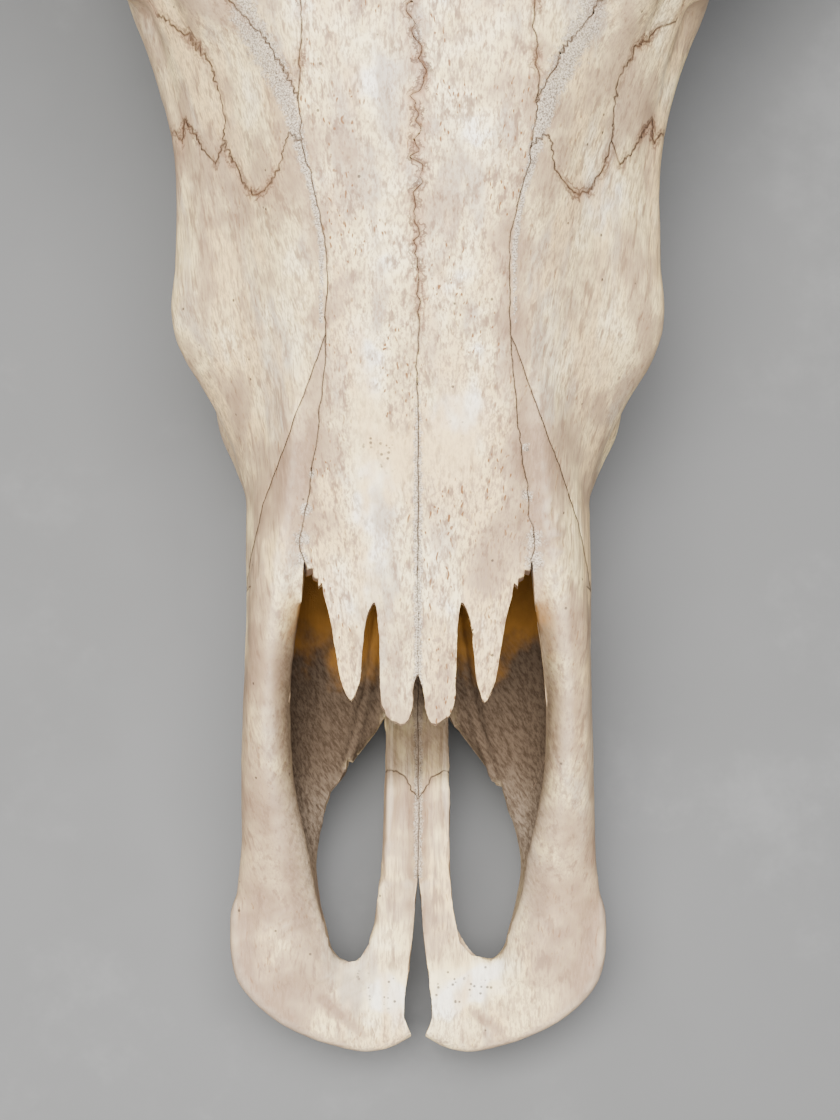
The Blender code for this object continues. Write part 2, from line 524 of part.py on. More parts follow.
def hollow(skull, home):
    """Scoops out the eye sockets, the throat's opening, the spinal canal and the nerve holes."""
    cutters = [limb("choana", CHOANA, home), limb("canal", FORAMEN_MAGNUM, home)]
    for side in SIDES.values():
        cutters.append(ball("socket", (ORBIT_CENTRE, ORBIT_RADII, ORBIT_TURN), home, side))
        cutters.append(ball("hole", INFRAORBITAL_HOLE, home, side))
    for cutter in cutters:
        boolean(skull, cutter, "DIFFERENCE")
        bpy.data.objects.remove(cutter)


def open_nose(skull, home):
    """Clears what is left of the nose's roof between and beside the free tips of the nasals."""
    for side in SIDES.values():
        void = plate("void", NOSE_OPENING, ((90, 150), (160, 150)), ((90, 76), (160, 92)), home, side)
        boolean(skull, void, "DIFFERENCE")
        bpy.data.objects.remove(void)


def flatten_feet(skull, home):
    """Cuts the spurs level with the floor, and the horn cores where the horns begin."""
    floor = mesh_box("floor", (-300, 300), (-50, 600), (-60, 0), home)
    boolean(skull, floor, "DIFFERENCE")
    bpy.data.objects.remove(floor)
    for side in SIDES.values():
        beyond = mesh_box("beyond", (HORN[0][0] - GAP, 300), (380, 560), (90, 260), home, side)
        boolean(skull, beyond, "DIFFERENCE")
        bpy.data.objects.remove(beyond)


def mesh_box(name, xs, ys, zs, home, side=1):
    outline = ((ys[0], zs[0]), (ys[1], zs[0]), (ys[1], zs[1]), (ys[0], zs[1]))
    box = region_from_side(outline, xs[0], xs[1], 0, side, home)
    box.name = name
    return box


def united(solids):
    """The first solid with the others added to it; the others are removed."""
    whole = solids[0]
    for other in solids[1:]:
        boolean(whole, other, "UNION")
        bpy.data.objects.remove(other)
    return whole


def carve(name, skull, regions, home):
    """Takes the bone inside the regions out of the skull, and leaves a thin gap round it."""
    bone = bpy.data.objects.new(name, skull.data.copy())
    home.objects.link(bone)
    inner = united([make(0) for make in regions])
    outer = united([make(GAP) for make in regions])
    boolean(bone, inner, "INTERSECT")
    boolean(skull, outer, "DIFFERENCE")
    bpy.data.objects.remove(inner)
    bpy.data.objects.remove(outer)
    largest_body(bone)
    clean(bone)
    return bone


def clean(obj):
    """Joins the slivers the cuts leave on flat faces."""
    work = bmesh.new()
    work.from_mesh(obj.data)
    bmesh.ops.dissolve_limit(work, angle_limit=math.radians(2.5), verts=work.verts, edges=work.edges)
    bmesh.ops.triangulate(work, faces=work.faces)
    work.to_mesh(obj.data)
    work.free()


def tooth(name, centre, size, heading, home):
    """One cheek tooth: a ribbed column on the outer side, worn to a floor of two low valleys."""
    length, width = size
    turn = np.linspace(0, 2 * math.pi, 12, endpoint=False)
    squared = np.column_stack([np.cos(turn), np.sin(turn)])
    squared = np.sign(squared) * np.abs(squared) ** 0.62
    waist = 1 - 0.12 * np.exp(-(squared[:, 1] / 0.3) ** 2)
    outline = squared * (width / 2, length / 2) * np.column_stack([waist, np.ones(12)])
    cos, sin = math.cos(heading), math.sin(heading)
    plan = np.column_stack([outline[:, 0] * cos + outline[:, 1] * sin,
                            outline[:, 1] * cos - outline[:, 0] * sin])
    levels = ((TOOTH_ROOT_Z, 0.8), (TOOTH_NECK_Z, 0.96), (CUSP_Z + 1, 1.0), (CUSP_Z, 0.93))
    rings = [np.column_stack([plan * scale + centre, np.full(len(plan), float(z))]) for z, scale in levels]
    rings.append(np.column_stack([plan * 0.62 + centre, np.full(len(plan), float(CUSP_Z))]))
    rings.append(np.column_stack([plan * 0.34 + centre, np.full(len(plan), float(VALLEY_Z))]))
    return loft(name, rings, home)


def tooth_row(bone, side, home):
    """Sets six cheek teeth into one upper jaw, largest at the back."""
    y = TOOTH_ROW_START
    for number, (length, width) in enumerate(TEETH):
        middle = np.array([y + length / 2])
        x = along(TOOTH_ROW, middle)[0, 0]
        ahead = along(TOOTH_ROW, middle + 5)[0, 0]
        heading = math.atan2(ahead - x, 5) * side
        crown = tooth(f"tooth_{number}", (x * side, middle[0]), (length - TOOTH_SPACING, width), heading, home)
        boolean(bone, crown, "UNION")
        bpy.data.objects.remove(crown)
        y += length
    largest_body(bone)


def horn(name, side, home):
    """A long horn of rounded three-sided section, curving back, with wrinkles that fade to the tip."""
    path_knots = np.column_stack([np.linspace(0, 1, len(HORN)), np.array(HORN, float)])
    share = np.linspace(0, 1, HORN_RINGS) ** 0.92
    path = along(path_knots, share)
    tangent = np.gradient(path, axis=0)
    tangent[0] = (1, 0, 0)
    tangent /= np.linalg.norm(tangent, axis=1)[:, None]
    upward = np.array((0.0, 0.0, 1.0)) - tangent * tangent[:, 2:3]
    upward /= np.linalg.norm(upward, axis=1)[:, None]
    back = np.cross(upward, tangent)
    depth, height = along(HORN_HALF_DEPTH, share), along(HORN_HALF_HEIGHT, share)
    fade = np.clip(1 - share / 0.75, 0, 1)
    wrinkle = 1 + WRINKLE_DEPTH * fade * np.sin(share * WRINKLES * 2 * math.pi * 1.3)
    wrinkle[0] = 1
    turn = np.linspace(0, 2 * math.pi, HORN_SIDES, endpoint=False)
    three_sided = 1 + 0.09 * np.cos(3 * (turn - math.radians(90)))
    rings = (path[:, None]
             + back[:, None] * (depth * wrinkle[:, None])[:, None] * (np.cos(turn) * three_sided)[None, :, None]
             + upward[:, None] * (height * wrinkle[:, None])[:, None] * (np.sin(turn) * three_sided)[None, :, None])
    return loft(name, rings * (side, 1, 1), home)


def part_bones(skull, home, tools):
    """Parts the skull into its bones, one pair at a time, and names what is left the braincase."""
    plans = (
        ("nasal", lambda s: [lambda g: region_from_above(NASAL_OUTLINE, NASAL_CROWN, NASAL_DEPTH, g, s, tools)]),
        ("premaxilla", lambda s: [lambda g: region_from_side(PREMAXILLA_SIDE, 0.15, 90, g, s, tools),
                                  lambda g: region_from_above(PREMAXILLA_WEDGE, CHEEK_TOP, WEDGE_DEPTH, g, s, tools),
                                  lambda g: rod_region(g, s, tools)]),
        ("lacrimal", lambda s: [lambda g: region_from_above(LACRIMAL_OUTLINE, CHEEK_TOP, LACRIMAL_DEPTH, g, s, tools)]),
        ("zygomatic", lambda s: [lambda g: region_from_side(ZYGOMATIC_SIDE, ZYGOMATIC_INNER_X, 130, g, s, tools)]),
        ("palatine", lambda s: [lambda g: region_from_side(PALATINE_SIDE, 0.15, PALATINE_OUTER_X, g, s, tools)]),
        ("maxilla", lambda s: [lambda g: region_from_side(MAXILLA_SIDE, 0.15, 100, g, s, tools)]),
        ("frontal", lambda s: [lambda g: region_from_side(FRONTAL_SIDE, 0.15, 130, g, s, tools),
                               lambda g: region_from_side(HORN_CORE_SIDE, HORN_CORE_INNER_X, 131, g, s, tools)]),
        ("temporal", lambda s: [lambda g: region_from_side(TEMPORAL_SIDE, TEMPORAL_INNER_X, 130, g, s, tools)]),
    )
    bones = {}
    for bone, regions in plans:
        for side_name, side in SIDES.items():
            name = f"{bone}_{side_name}"
            bones[name] = carve(name, skull, regions(side), home)
        if bone == "nasal":
            open_nose(skull, tools)
    skull.name = "braincase"
    largest_body(skull)
    clean(skull)
    bones["braincase"] = skull
    return bones


NASAL_CROWN = NOSE_TOP[:-1] + CROWN[2:]


def centre_on_origin(objects):
    """Moves the skull so that the middle of its foot is at the origin."""
    corners = np.array([v.co[:] for obj in objects for v in obj.data.vertices])
    low, high = corners.min(axis=0), corners.max(axis=0)
    shift = Vector((-(low[0] + high[0]) / 2, -(low[1] + high[1]) / 2, -low[2]))
    for obj in objects:
        obj.data.transform(Matrix.Translation(shift))


def main():
    clear_scene()
    home = collection("water_buffalo_skull")
    tools = collection("tools", hidden=True)
    skull = joined("skull", shape_masses(tools), home)
    fuse(skull, VOXEL, 5)
    hollow(skull, tools)
    fuse(skull, VOXEL, 3)
    thin_out(skull, SKULL_TRIANGLES)
    flatten_feet(skull, tools)
    bones = part_bones(skull, home, tools)
    for side_name, side in SIDES.items():
        tooth_row(bones[f"maxilla_{side_name}"], side, tools)
        bones[f"horn_{side_name}"] = horn(f"horn_{side_name}", side, home)
    finishes = {name: material(name) for name in MATERIALS}
    for name, obj in bones.items():
        kind = "horn" if name.startswith("horn") else "thin_bone" if name.startswith("nasal") else "bone"
        obj.data.materials.clear()
        obj.data.materials.append(finishes[kind])
    centre_on_origin(list(bones.values()))


main()
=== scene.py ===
# %% [markdown]
# # A water buffalo skull, seen from above
# The real object is a dry, cleaned skull without its lower jaw. It lies on its cheek teeth and on two
# spurs at the back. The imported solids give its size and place. Here each bone gets a finer surface, its
# jagged sutures, its grain and its stains. All sizes are in millimetres until the mesh is written.

# %% The frame
import math

import bmesh
import bpy
import numpy as np
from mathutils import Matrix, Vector


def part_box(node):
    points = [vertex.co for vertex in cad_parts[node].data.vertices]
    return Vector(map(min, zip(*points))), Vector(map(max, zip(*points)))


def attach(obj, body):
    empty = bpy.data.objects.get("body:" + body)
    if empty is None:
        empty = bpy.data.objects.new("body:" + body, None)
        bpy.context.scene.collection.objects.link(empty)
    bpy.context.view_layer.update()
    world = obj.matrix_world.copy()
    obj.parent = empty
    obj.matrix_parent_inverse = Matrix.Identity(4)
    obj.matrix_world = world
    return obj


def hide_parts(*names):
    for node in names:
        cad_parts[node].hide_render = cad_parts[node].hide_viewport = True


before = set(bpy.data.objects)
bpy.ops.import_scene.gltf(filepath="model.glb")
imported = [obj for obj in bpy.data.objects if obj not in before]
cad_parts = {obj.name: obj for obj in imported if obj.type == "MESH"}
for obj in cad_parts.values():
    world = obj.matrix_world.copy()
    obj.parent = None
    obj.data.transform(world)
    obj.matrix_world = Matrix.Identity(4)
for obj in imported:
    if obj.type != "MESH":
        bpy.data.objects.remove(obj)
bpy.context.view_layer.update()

MM = 0.001
FRONT_OF_SKULL = 2.9
SHIFT = np.array((0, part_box("premaxilla_left")[0][1] / MM - FRONT_OF_SKULL, 0))
FINE = 1.25
SIDES = {"left": 1, "right": -1}
print("skull coordinates are moved by", SHIFT.round(2), "mm, voxel", FINE)

# %% [markdown]
# ## Curves
# Bone has no straight lines, so every shape starts from a few named points with a smooth curve through
# them. Two curve helpers serve the whole skull: an open one that is read at any position, and a closed
# one for cross-sections.

# %% Smooth curves through named points
def along(knots, at):
    """Values at the positions asked for, on a cubic through knots (position, value, ...).

    Between two knots it is the Hermite blend h00*a + h10*slope_a + h01*b + h11*slope_b, with slopes
    from the neighbouring knots, and it is constant outside the first and last knot."""
    knots = np.array(knots, float)
    at = np.clip(at, knots[0, 0], knots[-1, 0])
    slopes = np.gradient(knots[:, 1:], knots[:, 0], axis=0)
    span = np.clip(np.searchsorted(knots[:, 0], at, side="right") - 1, 0, len(knots) - 2)
    width = knots[span + 1, 0] - knots[span, 0]
    t = ((at - knots[span, 0]) / width)[:, None]
    start, end = knots[span, 1:], knots[span + 1, 1:]
    rise, fall = slopes[span] * width[:, None], slopes[span + 1] * width[:, None]
    return ((2 * t**3 - 3 * t**2 + 1) * start + (t**3 - 2 * t**2 + t) * rise
            + (3 * t**2 - 2 * t**3) * end + (t**3 - t**2) * fall)


def closed_curve(points, count):
    """count points on a smooth closed curve through the given ones, spaced by chord length."""
    points = np.array(points, float)
    knots = np.concatenate([points[-2:], points, points[:3]])
    steps = np.linalg.norm(np.diff(knots, axis=0), axis=1)
    place = np.concatenate([[0], np.cumsum(np.maximum(steps, 1e-6))])
    at = np.linspace(place[2], place[2 + len(points)], count, endpoint=False)
    return along(np.column_stack([place, knots]), at)


def noise(points, size, seed):
    """Random values from -1 to 1 that change smoothly over about size millimetres.

    Each corner of a cubic lattice gets a hashed number, and t*t*(3-2t) blends the eight corners."""
    cell = np.asarray(points, float) / size
    base = np.floor(cell).astype(np.int64)
    t = cell - base
    t = t * t * (3 - 2 * t)
    total = np.zeros(len(cell))
    for corner in np.ndindex(2, 2, 2):
        key = base + corner
        mixed = key[:, 0] * 73856093 ^ key[:, 1] * 19349663 ^ key[:, 2] * 83492791 ^ (seed * 7919)
        mixed = (mixed ^ (mixed >> 13)) * 1540483477 & 0xFFFFFFFF
        mixed = (mixed ^ (mixed >> 15)) * 668265263 & 0xFFFFFFFF
        weight = np.prod(np.where(corner, t, 1 - t), axis=1)
        total += weight * (mixed / 0x7FFFFFFF - 1)
    return total


print("nose profile at 150 mm:", along(((106, 100), (160, 118)), np.array([150.0])).round(1))

# %% [markdown]
# ## Skins over sections
# A mass of bone is a closed skin over a row of sections. Points stand on a grid, section by section,
# so one function makes every skin. Its two ends are closed with a flat cap.

# %% Skins, tubes, balls and plates as arrays of points and faces
def skin(rings):
    """Points and faces of a closed skin: point (i, j) of the grid is joined to (i+1, j) and (i, j+1)."""
    rings = np.asarray(rings, float)
    count, around = rings.shape[:2]
    i, j = np.meshgrid(np.arange(count - 1), np.arange(around), indexing="ij")
    k = (j + 1) % around
    quads = np.stack([i * around + j, i * around + k, (i + 1) * around + k, (i + 1) * around + j], axis=-1)
    faces = quads.reshape(-1, 4).tolist()
    faces.append(list(range(around)))
    faces.append(list(range((count - 1) * around, count * around)))
    return rings.reshape(-1, 3), faces


def skin_through(lines, step, mirrored, side=1, around=96):
    """A skin whose section at y is the smooth closed curve through where each line (y, x, z) stands."""
    first, last = lines[0][0][0], lines[0][-1][0]
    ys = np.linspace(first, last, round((last - first) / step) + 1)
    values = np.array([along(line, ys) for line in lines])
    rings = []
    for i, y in enumerate(ys):
        half = values[:, i]
        loop = np.concatenate([half, half[-2:0:-1] * (-1, 1)]) if mirrored else half * (side, 1)
        curve = closed_curve(loop, around)
        rings.append(np.column_stack([curve[:, 0], np.full(around, y), curve[:, 1]]))
    return skin(rings)


def limb(stations, side=1, sides=24, steps=6):
    """A tube through stations (y, x, z, half width, half height).

    Its section is centre + across*a*cos(t) + upward*b*sin(t), square to the smooth centre line."""
    stations = np.array(stations, float)
    places = np.arange(len(stations))
    at = np.linspace(0, places[-1], places[-1] * steps + 1)
    fine = along(np.column_stack([places, stations]), at)
    path = fine[:, [1, 0, 2]] * (side, 1, 1)
    tangent = np.gradient(path, axis=0)
    tangent /= np.linalg.norm(tangent, axis=1)[:, None]
    steep = np.abs(tangent[:, 2]).mean() > 0.7
    across = np.cross(tangent, (0.0, 1.0, 0.0) if steep else (0.0, 0.0, 1.0))
    across /= np.linalg.norm(across, axis=1)[:, None]
    upward = np.cross(across, tangent)
    t = np.linspace(0, 2 * math.pi, sides, endpoint=False)
    wide, high = fine[:, 3, None, None], fine[:, 4, None, None]
    sideways = across[:, None] * wide * np.cos(t)[:, None]
    return skin(path[:, None] + sideways + upward[:, None] * high * np.sin(t)[:, None])


def ball(centre, radii, turn=(0, 0, 0), side=1, rows=20):
    """An ellipsoid: centre + turned (a*sin(u)*cos(v), b*sin(u)*sin(v), c*cos(u)). Its turn is in degrees."""
    u = np.linspace(0.03, math.pi - 0.03, rows)[:, None]
    v = np.linspace(0, 2 * math.pi, 2 * rows, endpoint=False)[None, :]
    grid = np.stack([np.sin(u) * np.cos(v), np.sin(u) * np.sin(v), np.cos(u) + 0 * v], axis=-1) * radii
    rx, ry, rz = np.radians(np.array(turn, float) * (1, side, side))
    turn_x = np.array(((1, 0, 0), (0, math.cos(rx), -math.sin(rx)), (0, math.sin(rx), math.cos(rx))))
    turn_y = np.array(((math.cos(ry), 0, math.sin(ry)), (0, 1, 0), (-math.sin(ry), 0, math.cos(ry))))
    turn_z = np.array(((math.cos(rz), -math.sin(rz), 0), (math.sin(rz), math.cos(rz), 0), (0, 0, 1)))
    return skin(grid @ (turn_z @ turn_y @ turn_x).T + np.array(centre) * (side, 1, 1))


def ring_tube(centres, radius, side=1, around=20, count=96):
    """A closed tube of round section along the smooth closed curve through the centres."""
    path = closed_curve(np.array(centres, float) * (side, 1, 1), count)
    tangent = np.roll(path, -1, axis=0) - np.roll(path, 1, axis=0)
    tangent /= np.linalg.norm(tangent, axis=1)[:, None]
    outward = path - path.mean(axis=0)
    outward -= tangent * (outward * tangent).sum(axis=1)[:, None]
    outward /= np.linalg.norm(outward, axis=1)[:, None]
    third = np.cross(tangent, outward)
    t = np.linspace(0, 2 * math.pi, around, endpoint=False)[:, None]
    points = path[:, None] + radius * (outward[:, None] * np.cos(t) + third[:, None] * np.sin(t))
    i, j = np.meshgrid(np.arange(count), np.arange(around), indexing="ij")
    m, k = (i + 1) % count, (j + 1) % around
    quads = np.stack([i * around + j, i * around + k, m * around + k, m * around + j], axis=-1)
    return points.reshape(-1, 3), quads.reshape(-1, 4).tolist()


def prism(outline, low, high):
    """A solid between two copies of an outline from above, at a low and a high z."""
    outline = np.asarray(outline, float)
    count = len(outline)
    low, high = np.broadcast_to(low, count), np.broadcast_to(high, count)
    points = np.concatenate([np.column_stack([outline, high]), np.column_stack([outline, low])])
    walls = [[i, (i + 1) % count, (i + 1) % count + count, i + count] for i in range(count)]
    return points, walls + [list(range(count)), list(range(count, 2 * count))]


print("a test ball has", len(ball((0, 0, 0), (10, 10, 10))[0]), "points")

# %% [markdown]
# ## Meshes and modifiers
# The arrays become Blender meshes here. Voxel Remesh melts overlapping skins into one, and the Boolean
# modifier cuts. A modifier is applied at once, so that the next step sees its result.

# %% From arrays to meshes, and modifiers that are applied at once
skin_paint = bpy.data.materials.new("skin_paint")
wall_paint = bpy.data.materials.new("wall_paint")


def solid(name, shapes, paint=skin_paint):
    """One mesh object, in skull millimetres, of several (points, faces), each facing out."""
    points, faces, start = [], [], 0
    for shape_points, shape_faces in shapes:
        points.append(shape_points)
        faces += [[start + i for i in face] for face in shape_faces]
        start += len(shape_points)
    mesh = bpy.data.meshes.new(name)
    mesh.from_pydata(np.concatenate(points).tolist(), [], faces)
    work = bmesh.new()
    work.from_mesh(mesh)
    bmesh.ops.recalc_face_normals(work, faces=work.faces)
    bmesh.ops.triangulate(work, faces=[f for f in work.faces if len(f.verts) > 4])
    work.to_mesh(mesh)
    work.free()
    mesh.materials.append(paint)
    obj = bpy.data.objects.new(name, mesh)
    bpy.context.scene.collection.objects.link(obj)
    return obj


def drop(*objects):
    for obj in objects:
        bpy.data.objects.remove(obj)


def settle(obj):
    """Applies the object's modifiers."""
    graph = bpy.context.evaluated_depsgraph_get()
    mesh = bpy.data.meshes.new_from_object(obj.evaluated_get(graph))
    obj.modifiers.clear()
    old = obj.data
    obj.data = mesh
    bpy.data.meshes.remove(old)


def boolean(obj, other, operation):
    """A Boolean that keeps the other's paint on the faces it makes, so that cut walls can be found later."""
    modifier = obj.modifiers.new("cut", "BOOLEAN")
    modifier.operation = operation
    modifier.solver = "MANIFOLD"
    modifier.material_mode = "TRANSFER"
    modifier.object = other
    settle(obj)


def melt(obj, voxel):
    """Melts overlapping skins into one closed skin of even cells."""
    remesh = obj.modifiers.new("melt", "REMESH")
    remesh.mode = "VOXEL"
    remesh.voxel_size = voxel
    settle(obj)


def read_points(obj):
    points = np.empty(len(obj.data.vertices) * 3, np.float32)
    obj.data.vertices.foreach_get("co", points)
    return points.reshape(-1, 3).astype(float)


def write_points(obj, points):
    obj.data.vertices.foreach_set("co", np.asarray(points, np.float32).ravel())
    obj.data.update()


def read_normals(obj):
    normals = np.empty(len(obj.data.vertices) * 3, np.float32)
    obj.data.vertices.foreach_get("normal", normals)
    return normals.reshape(-1, 3).astype(float)


def read_edges(obj):
    edges = np.empty(len(obj.data.edges) * 2, np.int32)
    obj.data.edges.foreach_get("vertices", edges)
    return edges.reshape(-1, 2)


def ease(obj, rounds, pull=0.5, push=-0.52):
    """Smooths without shrinking.

    Each round moves a point by pull, and then by push, times the way to its neighbours' mean."""
    points, edges = read_points(obj), read_edges(obj)
    a, b = edges.T
    degree = np.maximum(np.bincount(np.concatenate([a, b]), minlength=len(points)), 1)[:, None]
    for _ in range(rounds):
        for share in (pull, push):
            total = np.column_stack([
                np.bincount(a, points[b, i], len(points)) + np.bincount(b, points[a, i], len(points))
                for i in range(3)])
            points = points + share * (total / degree - points)
    write_points(obj, points)


print("mesh tools ready")

# %% [markdown]
# ## The face
# From above, the face is a long wedge: the nasal bones form its roof, and a blunt bump bulges on each
# cheek. Each line below runs along the head at one place of the section, from the crown of the nose
# round to the middle of the palate. A section is the closed curve through all of them.

# %% The lines of the face, as (y, x, z) from the front of the skull
CROWN = ((150, 0, 112), (173, 0, 121.5), (200, 0, 131.5), (231, 0, 145), (260, 0, 156), (287, 0, 167),
         (316, 0, 177), (352, 0, 189))
NASAL_EDGE = ((150, 36, 105), (173, 34.5, 115), (188, 32, 122), (214, 30, 134), (240, 29, 145),
              (277, 35, 159), (315, 38, 172), (352, 42, 183))
CHEEK_TOP = ((150, 50, 97), (200, 50, 108), (235, 54, 119), (270, 57, 129), (300, 62, 140), (330, 70, 150),
             (352, 78, 160))
FACIAL_CREST = ((150, 55, 84), (190, 57.5, 88), (205, 63.5, 86), (218, 71, 84), (228, 77.5, 85),
                (240, 81.2, 87), (263, 79, 94), (292, 77, 105), (318, 81, 117), (352, 94, 128))
UNDER_CREST = ((150, 54, 60), (190, 57, 60), (218, 66, 58), (240, 70, 64), (263, 69, 68), (292, 68, 74),
               (318, 66, 84), (352, 62, 92))
TOOTH_BULGE = ((150, 50, 38), (180, 56, 36), (200, 62.5, 35), (212, 68.5, 40), (235, 71, 42),
               (260, 71.5, 43), (290, 69, 45), (310, 62, 54), (330, 55, 66), (352, 48, 76))
SOCKET_OUTER = ((150, 44, 23), (180, 52, 20), (200, 57, 20), (235, 65, 20), (290, 67, 21), (306, 60, 30),
                (330, 44, 50), (352, 38, 64))
SOCKET_INNER = ((150, 32, 25), (180, 31.5, 21), (200, 33, 20), (235, 38, 20), (290, 42, 22), (306, 41, 31),
                (330, 30, 52), (352, 26, 66))
PALATE = ((150, 0, 36), (200, 0, 33), (250, 0, 33), (290, 0, 36), (306, 0, 42), (330, 0, 58), (352, 0, 70))
PALATE_SIDE = ((150, 22, 34), (200, 27, 30), (250, 30, 30), (290, 34, 33), (306, 31, 40), (330, 22, 56),
               (352, 18, 69))
FACE = (CROWN, NASAL_EDGE, CHEEK_TOP, FACIAL_CREST, UNDER_CREST, TOOTH_BULGE, SOCKET_OUTER,
        SOCKET_INNER, PALATE_SIDE, PALATE)

CAVITY_ROOF = ((90, 0, 88), (150, 0, 105.5), (200, 0, 124), (262, 0, 147))
CAVITY_SHOULDER = ((90, 30, 84), (150, 31, 100.5), (200, 27, 118), (262, 22, 140))
CAVITY_WALL = ((90, 43, 66), (150, 46, 70), (200, 48, 78), (262, 40, 95))
CAVITY_FOOT = ((90, 35, 46), (150, 36, 45), (200, 36, 46), (262, 26, 56))
CAVITY_FLOOR = ((90, 0, 42.5), (150, 0, 42.5), (200, 0, 43), (262, 0, 54))
CAVITY = (CAVITY_ROOF, CAVITY_SHOULDER, CAVITY_WALL, CAVITY_FOOT, CAVITY_FLOOR)

face = solid("face", [skin_through(FACE, 4, mirrored=True)])
cavity = solid("cavity", [skin_through(CAVITY, 4, mirrored=True)])
boolean(face, cavity, "DIFFERENCE")
drop(cavity)
print("face mass:", len(face.data.vertices), "points")

# %% [markdown]
# ## The muzzle
# In front, the roof ends in free tips and the nose is open. A rounded bar on each side sinks to a broad
# flat blade. Two rods run back beside the midline, and an oval hole stays open between rod and bar.
# One side's wall is again a section through lines, and the blade is a flat plate of the outline that
# shows from above.

# %% The lines of one side wall of the muzzle
RIM_INNER = ((26, 27, 40), (40, 29.5, 43), (54, 34, 49), (68, 36.5, 57), (85, 40.5, 68), (116, 42.5, 85),
             (140, 40, 99), (160, 36.5, 109), (180, 33, 113), (214, 30, 126))
BAR_TOP = ((26, 40, 42), (40, 42, 46), (54, 43, 51), (68, 44.5, 61), (85, 47, 72), (116, 48, 89),
           (140, 45.5, 102), (160, 42, 111), (180, 38, 117), (214, 33, 131))
BAR_SHOULDER = ((26, 54, 40), (40, 55, 44), (54, 54, 49), (68, 53.5, 58), (85, 54, 68), (116, 53.5, 84),
                (140, 51.5, 97), (160, 49.5, 104), (180, 48, 107), (214, 46, 118))
WALL_WIDEST = ((26, 60, 35), (40, 62.5, 38), (54, 61, 42), (68, 59, 50), (85, 58.3, 58), (116, 57, 72),
               (140, 55.8, 82), (160, 55.5, 87), (180, 55.5, 88), (214, 52, 90))
WALL_LOW = ((26, 58, 31), (40, 60, 33), (54, 58, 35), (68, 56.5, 38), (85, 55.5, 42), (116, 54.5, 48),
            (160, 54, 54), (214, 52, 56))
MARGIN = ((26, 50, 28), (40, 51, 28.5), (54, 49.5, 28.5), (85, 48, 27), (116, 46, 26), (160, 46, 24),
          (214, 46, 26))
SHELF_UNDER = ((26, 42, 28.5), (54, 42, 29.5), (68, 41, 30.5), (85, 38, 32), (116, 36, 33), (160, 34, 32),
               (214, 34, 32))
SHELF_EDGE_UNDER = ((26, 28, 30), (40, 30, 32), (54, 33.5, 33.5), (68, 34.5, 35), (76, 33, 36),
                    (86, 29, 37), (97, 23.5, 37.5), (106, 17, 38), (114, 11, 38), (124, 3, 38),
                    (132, -2, 38), (214, -2, 38))
SHELF_EDGE = ((26, 28, 34), (40, 30, 37), (54, 33.5, 38.5), (68, 34.5, 38.5), (76, 33, 39), (86, 29, 39.5),
              (97, 23.5, 40), (106, 17, 40.5), (114, 11, 41), (124, 3, 42), (132, -2, 42.5),
              (214, -2, 42.5))
SHELF_TOP = ((26, 28, 37), (54, 33.7, 42), (68, 36, 43), (85, 36, 43), (116, 34, 43.5), (160, 34, 45),
             (214, 34, 46))
WALL_INNER = ((26, 27.5, 39), (54, 34, 45.5), (68, 37.5, 49), (85, 41.5, 54), (116, 45.5, 62),
              (140, 46.5, 68), (160, 46.5, 72), (214, 46, 78))
MUZZLE = (RIM_INNER, BAR_TOP, BAR_SHOULDER, WALL_WIDEST, WALL_LOW, MARGIN, SHELF_UNDER,
          SHELF_EDGE_UNDER, SHELF_EDGE, SHELF_TOP, WALL_INNER)

BLADE = ((1.2, 8.5), (3.4, 7.4), (7, 5.2), (16, 2.7), (27, 4.2), (41.5, 9.6), (52, 16.5), (60.3, 26.5),
         (62.8, 39.8), (61, 54), (50, 62), (40, 56), (33.5, 47), (29.5, 38), (24.5, 33), (19.5, 35.5),
         (15.4, 43), (12, 60), (0.6, 60), (0.6, 46), (0.6, 33), (0.6, 19), (0.6, 13))
BLADE_TOP = ((2, 35), (12, 38.5), (28, 41.5), (60, 46))
BLADE_FOOT = ((2, 27), (12, 27), (28, 28.5), (60, 31))
ROD = ((44, 7.6, 40, 6.6, 4.4), (60, 6.6, 41, 6.3, 4.4), (86, 6, 41.2, 5.6, 4.2), (112, 5.7, 41, 5.1, 4),
       (140, 5.5, 41, 4.8, 4))
ROD_RIDGE = ((58, 10.4, 43, 1.4, 2), (86, 9.4, 45, 1.5, 2.6), (112, 8.8, 45, 1.5, 2.6),
             (138, 8.2, 44, 1.4, 2))
SHELF_RIDGE = ((92, 26, 42.4, 1.6, 1.6), (106, 21.5, 44, 1.7, 2.2), (124, 17, 45.6, 1.8, 2.6),
               (150, 13, 46, 2, 2.6))
VOMER = ((112, 0, 42, 3, 4), (150, 0, 46, 2.5, 9), (200, 0, 52, 2.5, 14), (262, 0, 66, 4, 22))


def grown(outline, by):
    """The closed outline moved along its outward normal, which is its tangent turned a quarter."""
    following = np.roll(outline, -1, axis=0)
    tangent = following - np.roll(outline, 1, axis=0)
    tangent /= np.maximum(np.linalg.norm(tangent, axis=1), 1e-9)[:, None]
    turning = np.sign((outline[:, 0] * following[:, 1] - outline[:, 1] * following[:, 0]).sum())
    return outline + turning * np.column_stack([tangent[:, 1], -tangent[:, 0]]) * np.reshape(by, (-1, 1))


def blade(side):
    """A plate with rounded rims: the outline repeated at four heights, drawn in at the lowest and highest."""
    outline = closed_curve(BLADE, 160)
    high, low = along(BLADE_TOP, outline[:, 1])[:, 0], along(BLADE_FOOT, outline[:, 1])[:, 0]
    layers = ((low, -1.8), (low + 1.6, 0), (high - 2.6, 0), (high - 0.8, -0.9), (high, -2.4))
    rings = [np.column_stack([grown(outline, by), z]) for z, by in layers]
    return skin(np.array(rings) * (side, 1, 1))


